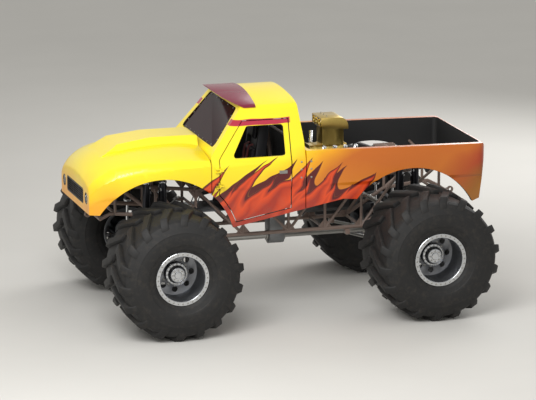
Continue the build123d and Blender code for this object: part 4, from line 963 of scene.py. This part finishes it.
class TRUCK_OT_tyres(bpy.types.Operator):
    """Mould the four tyres with their staggered lugs"""

    bl_idname = "truck.tyres"
    bl_label = "Tyres"

    def execute(self, context):
        tyres = context.scene.truck.tyres
        rim = 0.3425
        crown = wheel_radius - TREAD_CLEARANCE - tyres.lug_height
        # Half of the carcass from the bead outwards: distance from the middle and radius
        half_outline = [
            (0.453, rim + 0.004), (0.47, rim + 0.008), (0.488, rim + 0.03), (0.5, rim + 0.05),
            (0.506, rim + 0.054), (0.512, rim + 0.07), (0.528, rim + 0.11), (0.534, rim + 0.114),
            (0.538, rim + 0.122), (0.541, wheel_radius * 0.6), (half_tyre - 0.001, wheel_radius * 0.66),
            (0.541, wheel_radius * 0.71), (0.536, wheel_radius * 0.735), (0.537, wheel_radius * 0.742),
            (0.53, wheel_radius * 0.76), (0.515, wheel_radius * 0.82), (0.485, crown - 0.035),
            (0.44, crown - 0.008), (0.3, crown), (0.1, crown),
        ]
        inner = [(0.415, rim - 0.02), (0.46, rim + 0.05), (0.5, wheel_radius * 0.64), (0.4, crown - 0.05)]
        outline = mirrored([(-reach, radius) for reach, radius in half_outline]) + mirrored(inner)
        carcass = turned([*outline, outline[0]], hub, steps=108)
        lugs = ringed(lug_shape(tyres), tyres.lug_count, "Y", hub)
        half_pitch = Matrix.Rotation(math.pi / tyres.lug_count, 4, "Y")
        stagger, across = (
            Matrix.Translation(hub) @ move @ Matrix.Translation(-hub) for move in (half_pitch, TO_RIGHT)
        )
        tyre = joined([carcass, copied(lugs, stagger), copied(lugs, across)])
        bpy.data.objects.remove(lugs)
        for end, side in CORNERS:
            name = f"tyre_{end}_{side}"
            twin = copied(tyre, to_corner(end, side))
            body = PIECE_BODIES[name]
            finish_piece(twin, name + "_lugged", body, "moulded_black_rubber", 32, [name])
        bpy.data.objects.remove(tyre)
        return {"FINISHED"}


class TRUCK_OT_wheels(bpy.types.Operator):
    """Dress the wheels and fit their bead locks, hub covers, bolts and valves"""

    bl_idname = "truck.wheels"
    bl_label = "Wheels"

    def execute(self, context):
        # Where the bead lock's ring begins along the axle
        ring_y = 0.4715
        lock = turned(
            [(ring_y, 0.299), (ring_y + 0.01, 0.3), (ring_y + 0.014, 0.304), (ring_y + 0.014, 0.348),
             (ring_y + 0.011, 0.352), (ring_y, 0.353), (ring_y, 0.299)],
            hub, steps=96,
        )
        hub_face = turned(
            [(0.2505, 0.0), (0.2505, 0.094), (0.256, 0.092), (0.258, 0.088), (0.258, 0.05), (0.262, 0.047),
             (0.27, 0.045), (0.272, 0.041), (0.272, 0.018), (0.27, 0.0)],
            hub, steps=48,
        )
        drive_ring = turned(
            [(0.19, 0.119), (0.19, 0.148), (0.197, 0.147), (0.199, 0.144), (0.199, 0.121), (0.19, 0.119)],
            hub, steps=72,
        )
        circles = (
            # place along the axle, radius of the circle, radius of a bolt, number of bolts
            (ring_y + 0.014, 0.327, 0.0085, 32),
            (0.09, 0.172, 0.013, 12),
            (0.199, 0.134, 0.008, 16),
            (0.258, 0.07, 0.009, 8),
        )
        bolts = [
            bolt_circle(hub + ALONG_Y * reach, ALONG_Y, UP, radius, size, number, "Y")
            for reach, radius, size, number in circles
        ]
        valve = turned(
            [(0.09, 0.0), (0.09, 0.008), (0.1, 0.008), (0.101, 0.0045), (0.125, 0.0045), (0.126, 0.006),
             (0.14, 0.006), (0.141, 0.0)],
            hub + Vector((0.26, 0, 0)), steps=16,
        )
        rings = joined([lock, hub_face, drive_ring])
        small = joined([*bolts, valve])
        for end, side in CORNERS:
            node = f"wheel_{end}_{side}"
            dressed(node, "satin_cast_aluminium", 0.003)
            for piece, name, material, slot in (
                (rings, "bead_lock", "machined_aluminium", "wheel_metal"),
                (small, "wheel_bolts", "zinc_plated_bolt", "link_steel"),
            ):
                twin = copied(piece, to_corner(end, side))
                finish_piece(twin, f"{name}_{end}_{side}", PIECE_BODIES[node], material)
        bpy.data.objects.remove(rings)
        bpy.data.objects.remove(small)
        return {"FINISHED"}


class TRUCK_OT_axles(bpy.types.Operator):
    """Dress knuckles, axles, rods and shafts, and fit their bolts and the pinion brakes"""

    bl_idname = "truck.axles"
    bl_label = "Axles"

    def execute(self, context):
        for end, side in CORNERS:
            dressed(f"knuckle_{end}_{side}", "painted_iron_casting", 0.004)
        for end in ENDS:
            dressed(f"axle_{end}", "axle_enamel", 0.004)
            dressed(f"tie_rod_{end}", "zinc_plated_steel_tube", 0.002)
            dressed(f"driveshaft_{end}", "zinc_plated_steel_tube", 0.002)
            dressed(f"steering_rod_{end}", "hard_chrome_rod", 0.002)

        differential = Vector((half_base, 0, wheel_radius))
        # The pinion's shaft lies behind the differential's middle and above it
        shaft = differential + Vector((-0.43, 0, 0.042))
        bolts = []
        for side in (-1, 1):
            face = differential + ALONG_Y * side * 0.1502
            slope = Vector((0, side * 0.7071, 0.7071))
            bolts.append(bolt_circle(face, slope, UP, 0.2298, 0.0095, 16, "Y"))
        brake = turned(
            [(0.05, 0.079), (0.05, 0.165), (0.053, 0.168), (0.059, 0.168), (0.062, 0.165), (0.062, 0.079),
             (0.05, 0.079)],
            shaft, ALONG_X, UP, 72,
        )
        outline = ((-0.075, 0.1), (0.075, 0.1), (0.085, 0.15), (0.06, 0.19), (-0.06, 0.19), (-0.085, 0.15))
        caliper = plate([shaft + Vector((0.03, y, z)) for y, z in outline], ALONG_X * 0.052)
        rounded(pressed(caliper, UP, 0.008, 0.012), 0.005)
        rows = (
            # front piece, name, material, slot
            (joined(bolts), "differential_bolts", "zinc_plated_bolt", "link_steel"),
            (brake, "pinion_brake", "ground_brake_disc", "link_steel"),
            (caliper, "brake_caliper", "painted_iron_casting", "knuckle_steel"),
        )
        for piece, name, material, slot in rows:
            finish_ends(piece, name, "axle", material)
        return {"FINISHED"}


class TRUCK_OT_suspension(bpy.types.Operator):
    """Build the shock absorbers with their bypass tubes and dress the links"""

    bl_idname = "truck.suspension"
    bl_label = "Suspension"

    def execute(self, context):
        bodies, caps, rods = [], [], []
        for way in (-1, 1):
            # The front left shock absorbers, one before and one behind the axle
            foot = Vector((half_base + way * 0.125, 0.48, 0.985))
            head = Vector((half_base + way * 0.11, 0.48, 1.885))
            axis = (head - foot).normalized()
            span = (head - foot).length
            out = axis.cross(ALONG_Y)
            rod = [(0.0, 0.019), (0.39, 0.019), (0.39, 0.0), (0.0, 0.0)]
            rods.append(turned(rod, foot, axis, out, 32))
            barrel = [(0.4, 0.03), (0.4, 0.0478), (span - 0.07, 0.0478), (span - 0.07, 0.03)]
            bodies.append(turned(barrel, foot, axis, out, 48))
            # Collars close both ends of the barrel
            half_collar = [(-0.017, 0.022), (-0.017, 0.046), (-0.014, 0.0515), (-0.009, 0.0538)]
            for middle in (0.397, span - 0.067):
                caps.append(turned(mirrored(half_collar), foot + axis * middle, axis, out, 48))
            neck = [(span - 0.052, 0.04), (span - 0.045, 0.03), (span - 0.03, 0.026), (span - 0.03, 0.0)]
            stub = [(0.028, 0.0), (0.028, 0.026), (0.05, 0.026), (0.055, 0.0195)]
            caps += [turned(profile, foot, axis, out, 32) for profile in (neck, stub)]
            # Bypass tubes stand beside the body, with their adjusters on top
            for turn, tall in ((-50, 0.33), (0, 0.26), (50, 0.3)):
                beside = Matrix.Rotation(math.radians(turn + way * 90), 3, axis) @ ALONG_Y
                start = foot + beside * 0.059 + axis * 0.43
                tube = [(0.0, 0.0), (0.0, 0.009), (tall, 0.009), (tall, 0.0)]
                bodies.append(turned(tube, start, axis, out, 20))
                adjuster = [(0.0, 0.0), (0.0, 0.011), (0.015, 0.011), (0.018, 0.007), (0.03, 0.007),
                            (0.03, 0.0)]
                caps.append(turned(adjuster, start + axis * tall, axis, out, 20))
            # Each eye has a bush and a hexagonal bolt through it
            for eye in (foot, head):
                bush = mirrored([(-0.03, 0.014), (-0.03, 0.029), (-0.026, 0.0318)])
                caps.append(turned([*bush, bush[0]], eye, steps=40))
                bolt = mirrored([(-0.047, 0.0), (-0.047, 0.012), (-0.045, 0.0135)])
                caps.append(turned(bolt, eye, steps=6))
        rows = (
            # front left pieces, name, material, slot
            (bodies, "shock_bodies", "anodised_shock_body", "shock_aluminium"),
            (caps, "shock_caps", "machined_shock_cap", "shock_aluminium"),
            (rods, "shock_rods", "hard_chrome_rod", "polished_rod"),
        )
        for pieces, name, material, slot in rows:
            front = both_sides(joined(pieces))
            finish_ends(front, name, "shocks", material, replaces=pieces is bodies)
        for end in ENDS:
            dressed(f"links_{end}", "zinc_plated_steel_tube", 0.002)
        return {"FINISHED"}


class TRUCK_OT_chassis(bpy.types.Operator):
    """Dress the tube chassis, the bumpers and the roll cage"""

    bl_idname = "truck.chassis"
    bl_label = "Chassis"

    def execute(self, context):
        for node in (
            "frame_side_left", "frame_side_right", "frame_cross_tubes", "shock_bars", "bumpers",
            "tow_eyes", "roll_cage", "body_mounts",
        ):
            dressed(node, "satin_powder_coat", 0.002)
        self.gussets()
        return {"FINISHED"}

    def gussets(self):
        """Triangular plates that stiffen the corners between the posts and the side rails."""
        plates = []
        belly, waist, side, tube_radius = 1.0, 1.65, 0.34, 0.015
        for x in (-1.15, -0.64, -0.13, 0.5, 1.15):
            for way in (-1, 1):
                for z, lift in ((belly, 1), (waist, -1)):
                    # The belly's end posts have no rail beyond them
                    if lift > 0 and abs(x) > 1 and x * way > 0:
                        continue
                    corner = Vector((x + way * tube_radius, side - 0.0025, z + lift * tube_radius))
                    ends = [corner + ALONG_X * way * 0.085, corner + UP * lift * 0.11]
                    plates.append(plate([corner, *ends], ALONG_Y * 0.005))
        pair = both_sides(joined(plates))
        finish_piece(pair, "frame_gussets", CHASSIS, "satin_powder_coat")


class TRUCK_OT_engine(bpy.types.Operator):
    """Dress the engine, its supercharger, its headers, its belt and the gearbox"""

    bl_idname = "truck.engine"
    bl_label = "Engine"

    def execute(self, context):
        block = dressed("engine_block", "engine_enamel", 0.006)
        dressed("supercharger", "gold_anodised_case", 0.006)
        dressed("gearbox", "as_cast_aluminium", 0.006)
        self.headers()
        self.covers(block)
        self.hat()
        drive = dressed("blower_drive", "neoprene_belt", 0.002)
        finish_faces(drive, "polished_aluminium", self.is_pulley)
        return {"FINISHED"}

    def is_pulley(self, centre, normal):
        """The pulleys' faces lie inside the belt's two bends."""
        low, high = corners_of("blower_drive")
        # Radius of the belt's inside at each pulley, and the pulley's height
        bends = ((0.095, low.z + 0.103), (0.078, high.z - 0.086))
        return any(math.hypot(centre.y, centre.z - z) < radius - 0.001 for radius, z in bends)

    def headers(self):
        """The header tubes with hollow ends."""
        tubes = dressed("headers", "heat_tinted_chrome")
        wall, depth = 0.003, 0.2
        for side in (-1, 1):
            along = Vector((-0.05, side * 0.11, 0.395)).normalized()
            start_edit(tubes)
            select_faces(
                lambda centre, normal: normal.dot(along) > 0.98 and centre.z > 2.1 and centre.y * side > 0
            )
            bpy.ops.mesh.inset(thickness=wall)
            bpy.ops.mesh.extrude_region_move(TRANSFORM_OT_translate={"value": along * -depth})
            bpy.ops.object.mode_set(mode="OBJECT")

    def covers(self, block):
        """Polished valve covers with fins and a breather at each end."""
        middle = Vector(((block_low.x + block_high.x) / 2, 0.25, 1.7825))
        upwards = Vector((0, math.sin(0.753), math.cos(0.753)))
        across = upwards.cross(ALONG_X)

        def on_cover(centre, normal):
            local = Vector((centre.x, abs(centre.y), centre.z)) - middle
            return local.dot(upwards) > 0.003 and abs(local.dot(across)) < 0.05 and abs(local.x) < 0.27

        finish_faces(block, "polished_aluminium", on_cover)
        pieces = []
        long, wide = ALONG_X * 0.42, across * 0.005
        for step in (-0.026, -0.013, 0.0, 0.013, 0.026):
            start = middle + across * step - wide / 2 + upwards * 0.061 - long / 2
            fin = plate([start, start + long, start + long + wide, start + wide], upwards * 0.011)
            pieces.append(rounded(fin, 0.0015))
        profile = [(0.058, 0.0), (0.058, 0.013), (0.075, 0.013), (0.077, 0.024), (0.082, 0.026),
                   (0.098, 0.026), (0.103, 0.022), (0.105, 0.0)]
        for x in (-0.2265, 0.2265):
            pieces.append(turned(profile, middle + ALONG_X * x, upwards, ALONG_X, 32))
        pair = both_sides(joined(pieces))
        finish_piece(pair, "valve_cover_fins", CHASSIS, "polished_aluminium")

    def hat(self):
        """Machined lips round the hat's three mouths, the nozzles on top, and the case's bolts."""
        hat_x, mouth_z = -0.63, case_high.z - 0.062
        lip = [(-0.004, 0.052), (0.004, 0.053), (0.006, 0.056), (0.004, 0.06), (-0.004, 0.06),
               (-0.004, 0.052)]
        nozzle = [(-0.004, 0.0), (-0.004, 0.009), (0.012, 0.009), (0.013, 0.006), (0.026, 0.006),
                  (0.026, 0.0)]
        pieces = []
        for y in (-0.122, 0.0, 0.122):
            pieces.append(turned(lip, Vector((hat_x, y, mouth_z)), ALONG_X, UP, 48))
            pieces.append(turned(nozzle, Vector((hat_x - 0.1, y, case_high.z)), UP, ALONG_X, 20))
        # Bolts of the case's two end plates, then a row that looks down along each side
        for x, way in ((case_low.x, -ALONG_X), (case_high.x, ALONG_X)):
            for reach, z in ((0.11, 1.86), (0.11, 2.06), (0.13, 1.96)):
                pieces += [hex_bolt(Vector((x, y, z)), way, 0.007) for y in (-reach, reach)]
        for y in (-0.185, 0.185):
            for x in (-0.97, -0.88, -0.79, -0.7):
                pieces.append(hex_bolt(Vector((x, y, case_high.z - 0.16)), -UP, 0.006))
        fittings = joined(pieces)
        finish_piece(fittings, "injector_hat_fittings", CHASSIS, "polished_aluminium")


def puffed(piece, voxel, most):
    """Swells a closed shape as stuffing does, with cloth under pressure and its growth capped."""
    modified(piece, "REMESH", mode="VOXEL", voxel_size=voxel)
    before = [vertex.co.copy() for vertex in piece.data.vertices]
    select_only(piece)
    cloth = piece.modifiers.new("cloth", "CLOTH")
    cloth.settings.use_pressure = True
    cloth.settings.uniform_pressure_force = 4
    cloth.settings.effector_weights.gravity = 0
    for number in range(1, 21):
        bpy.context.scene.frame_set(number)
    bpy.ops.object.modifier_apply(modifier="cloth")
    for vertex, start in zip(piece.data.vertices, before):
        growth = vertex.co - start
        if growth.length > most:
            vertex.co = start + growth * (most / growth.length)
    bpy.context.scene.frame_set(1)
    return modified(piece, "SUBSURF", levels=1, render_levels=1)


class TRUCK_OT_cockpit(bpy.types.Operator):
    """Fit the floor, the padded seat, the harness, the steering wheel and the dash"""

    bl_idname = "truck.cockpit"
    bl_label = "Cockpit"

    def execute(self, context):
        dressed("floor_pan", "brushed_aluminium_sheet", 0.002)
        dressed("seat", "textured_seat_shell", 0.01)
        self.pads()
        self.harness()
        self.steering()
        self.dash()
        self.pedals()
        return {"FINISHED"}

    def pads(self):
        """Base, back and head pads between the seat's bolsters."""
        thick = bpy.context.scene.truck.cockpit.pad
        lean = math.atan2(0.13, 0.94)
        # name, middle, size and lean of each pad
        for name, centre, size, turn in (
            ("seat_base_pad", (0.545, 0, 1.612), (0.33, 0.37, thick), 0.045),
            ("seat_back_pad", (0.322, 0, 1.895), (thick, 0.37, 0.46), -lean),
            ("seat_head_pad", (0.26, 0, 2.335), (thick * 0.9, 0.3, 0.2), -lean),
        ):
            pad = add_piece(bpy.ops.mesh.primitive_cube_add, size=1, location=centre)
            start_edit(pad)
            bpy.ops.transform.resize(value=size, center_override=centre)
            rotate_selection(-turn, "Y", Vector(centre))
            bpy.ops.object.mode_set(mode="OBJECT")
            rounded(pad, 0.016, 3)
            puffed(pad, voxel=0.006, most=0.012)
            finish_piece(pad, name, PIECE_BODIES["seat"], "grained_vinyl", 60)

    def harness(self):
        """Shoulder, lap and crotch straps that meet in a round buckle on the lap."""
        body = PIECE_BODIES["seat"]
        shoulder = ((0.285, 0.075, 2.16), (0.345, 0.075, 2.13), (0.372, 0.072, 2.0), (0.39, 0.066, 1.88),
                    (0.41, 0.055, 1.78), (0.448, 0.035, 1.715))
        lap = ((0.455, 0.02, 1.7), (0.44, 0.09, 1.69), (0.41, 0.15, 1.675), (0.385, 0.19, 1.655))
        crotch = ((0.47, 0, 1.7), (0.5, 0, 1.68), (0.54, 0, 1.672), (0.58, 0, 1.668))
        shoulder_width = ALONG_Y * bpy.context.scene.truck.cockpit.strap
        lap_width = UP * 0.05 + ALONG_X * 0.02
        straps = []
        for side, route, across in (
            (-1, shoulder, shoulder_width), (-1, lap, lap_width),
            (1, shoulder, shoulder_width), (1, lap, lap_width),
            (1, crotch, ALONG_Y * 0.05),
        ):
            points = [Vector((x, side * y, z)) for x, y, z in route]
            straps.append(strap(points, across, 0.003))
        finish_piece(joined(straps), "harness_straps", body, "woven_nylon_webbing", 50)
        buckle = turned(
            [(-0.004, 0.0), (-0.004, 0.036), (0.004, 0.038), (0.012, 0.036), (0.016, 0.03), (0.017, 0.012),
             (0.014, 0.01), (0.014, 0.0)],
            Vector((0.46, 0, 1.7)), Vector((0.75, 0, 0.66)).normalized(), ALONG_Y, 32,
        )
        finish_piece(buckle, "harness_buckle", body, "zinc_plated_bolt")

    def steering(self):
        """A grip ring with three flat spokes on a turned hub and column."""
        rake = math.radians(25)
        axis = Vector((-math.cos(rake), 0, math.sin(rake)))
        across = Vector((math.sin(rake), 0, math.cos(rake)))
        centre = Vector((0.72, 0, 2.01))
        section = [math.tau * step / 12 for step in range(13)]
        ring = turned(
            [(math.cos(turn) * 0.0142, 0.16 + math.sin(turn) * 0.0138) for turn in section],
            centre, axis, ALONG_Y, 72,
        )
        body = PIECE_BODIES["steering_wheel"]
        finish_piece(
            ring, "steering_grip", body, "suede_grip", stands_for=["steering_wheel"]
        )
        pieces = []
        for turn in (90, -90, 180):
            out = Matrix.Rotation(math.radians(turn), 3, axis) @ across
            side = out.cross(axis)
            edge = [(0.03, 0.017), (0.1, 0.013), (0.15, 0.02)]
            other_edge = [(r, -w) for r, w in reversed(edge)]
            outline = [centre + out * r + side * w - axis * 0.002 for r, w in edge + other_edge]
            spoke = plate(outline, axis * 0.004)
            pieces.append(rounded(spoke, 0.001))
        pieces.append(turned(
            [(-0.012, 0.0), (-0.012, 0.036), (-0.008, 0.04), (0.006, 0.04), (0.01, 0.036), (0.01, 0.022),
             (0.02, 0.02), (0.022, 0.016), (0.022, 0.0)],
            centre, axis, ALONG_Y, 40,
        ))
        column = Vector((0.925, 0, 1.95)) - centre
        reach = column.length - 0.02
        pieces.append(turned(
            [(0.0, 0.0), (0.0, 0.03), (0.03, 0.026), (0.034, 0.0178), (reach, 0.0178), (reach, 0.0)],
            centre, column.normalized(), ALONG_Y, 32,
        ))
        finish_piece(joined(pieces), "steering_spokes", body, "polished_aluminium")

    def dash(self):
        """A sheet with four dials and a row of toggle switches over the dash tube."""
        body = PIECE_BODIES["roll_cage"]
        foot = Vector((0.9, 0, 1.975))
        up = Vector((0.26, 0, 0.966))
        out = Vector((-0.966, 0, 0.26))
        sheet = 0.003
        outline = [foot + ALONG_Y * y + up * z for y, z in
                   ((-0.3, 0.0), (0.3, 0.0), (0.3, 0.1), (0.26, 0.15), (-0.26, 0.15), (-0.3, 0.1))]
        panel = rounded(plate(outline, out * sheet), 0.001)
        finish_piece(panel, "dash_panel", body, "brushed_aluminium_sheet")
        rim = [(0.0, 0.036), (0.0, 0.041), (0.008, 0.041), (0.011, 0.037), (0.009, 0.034), (0.003, 0.034)]
        face = [(0.0, 0.0), (0.0, 0.035), (0.003, 0.035), (0.003, 0.0)]
        needle = ((-0.001, -0.008), (0.001, -0.008), (0.0216, 0.0165), (0.0205, 0.0172))
        toggle = [(0.0, 0.0), (0.0, 0.008), (0.004, 0.008), (0.005, 0.004), (0.016, 0.003),
                  (0.022, 0.0045), (0.025, 0.003), (0.025, 0.0)]
        faces, rims = [], []
        for y in (-0.21, -0.11, 0.11, 0.21):
            seat = foot + ALONG_Y * y + up * 0.09 + out * sheet
            rims.append(turned(rim, seat, out, ALONG_Y, 40))
            faces.append(turned(face, seat, out, ALONG_Y, 40))
            points = [seat + out * 0.004 + ALONG_Y * a + up * b for a, b in needle]
            rims.append(plate(points, out * 0.001))
        for number in range(6):
            seat = foot + ALONG_Y * (-0.125 + number * 0.05) + up * 0.025 + out * sheet
            rims.append(turned(toggle, seat, out, ALONG_Y, 12))
        finish_piece(joined(faces), "dial_faces", body, "moulded_black_trim")
        finish_piece(joined(rims), "dial_rims_and_switches", body, "polished_aluminium")

    def pedals(self):
        """Two ribbed pedals on arms, and a gear lever in its gate beside the seat."""
        pieces = []
        out, up = Vector((-0.85, 0, 0.53)), Vector((0.53, 0, 0.85)) * 0.05
        for y, width in ((-0.12, 0.055), (0.12, 0.085)):
            foot = Vector((1.1, y, floor_top))
            pad = Vector((1.02, y, floor_top + 0.19))
            arm = pad - foot
            bar = [(0.0, 0.0), (0.0, 0.008), (arm.length, 0.008), (arm.length, 0.0)]
            pieces.append(turned(bar, foot, arm.normalized(), ALONG_Y, 16))
            across = ALONG_Y * width / 2
            tread = plate([pad - across - up, pad + across - up, pad + across + up, pad - across + up],
                          out * 0.006)
            # The tread's front is cut into squares, each raised inside its own edge
            start_edit(tread)
            select_faces(lambda centre, normal: normal.dot(out) > 0.9)
            bpy.ops.mesh.subdivide(number_cuts=5)
            select_faces(lambda centre, normal: normal.dot(out) > 0.9)
            bpy.ops.mesh.inset(thickness=0.0015, use_individual=True)
            bpy.ops.transform.translate(value=out * 0.002)
            bpy.ops.object.mode_set(mode="OBJECT")
            pieces.append(tread)
        low = Vector((0.58, -0.305, floor_top))
        corners = [low + Vector((x, 0, z)) for x, z in ((0.0, 0.0), (0.16, 0.0), (0.13, 0.1), (0.02, 0.1))]
        pieces.append(rounded(plate(corners, ALONG_Y * 0.034), 0.004))
        pieces.append(turned(
            [(0.0, 0.0), (0.0, 0.012), (0.03, 0.008), (0.3, 0.007), (0.305, 0.016), (0.33, 0.021),
             (0.36, 0.019), (0.375, 0.01), (0.377, 0.0)],
            low + Vector((0.07, 0.017, 0.09)), Vector((0.1, 0, 0.995)), ALONG_Y, 24,
        ))
        sheet, slot = "brushed_aluminium_sheet", "floor_aluminium"
        finish_piece(joined(pieces), "pedals_and_gear_lever", CHASSIS, sheet)


class TRUCK_PT_panel(bpy.types.Panel):
    """The steps that dress the truck"""

    bl_label = "Monster truck"
    bl_idname = "TRUCK_PT_panel"
    bl_space_type = "VIEW_3D"
    bl_region_type = "UI"
    bl_category = "Truck"

    def draw(self, context):
        for group in ("camera", "stage", "body", "tyres", "metals", "cockpit"):
            box = self.layout.box()
            box.label(text=group.capitalize())
            settings = getattr(context.scene.truck, group)
            for name in settings.bl_rna.properties.keys():
                if name not in {"rna_type", "name"}:
                    box.prop(settings, name)
        for operator in OPERATORS:
            self.layout.operator(operator.bl_idname)


GROUPS = (
    CameraSettings,
    StageSettings,
    BodySettings,
    TyreSettings,
    MetalSettings,
    CockpitSettings,
    TruckSettings,
)
OPERATORS = (
    TRUCK_OT_camera,
    TRUCK_OT_stage,
    TRUCK_OT_shell,
    TRUCK_OT_trim,
    TRUCK_OT_tyres,
    TRUCK_OT_wheels,
    TRUCK_OT_axles,
    TRUCK_OT_suspension,
    TRUCK_OT_chassis,
    TRUCK_OT_engine,
    TRUCK_OT_cockpit,
)


def register():
    for group in (*GROUPS, *OPERATORS, TRUCK_PT_panel):
        bpy.utils.register_class(group)
    bpy.types.Scene.truck = PointerProperty(type=TruckSettings)


def unregister():
    del bpy.types.Scene.truck
    for group in reversed((*GROUPS, *OPERATORS, TRUCK_PT_panel)):
        bpy.utils.unregister_class(group)


def main():
    """Dresses the whole truck."""
    register()
    bpy.ops.truck.camera()
    bpy.ops.truck.stage()
    bpy.ops.truck.shell()
    bpy.ops.truck.trim()
    bpy.ops.truck.tyres()
    bpy.ops.truck.wheels()
    bpy.ops.truck.axles()
    bpy.ops.truck.suspension()
    bpy.ops.truck.chassis()
    bpy.ops.truck.engine()
    bpy.ops.truck.cockpit()


if __name__ == "__main__":
    main()
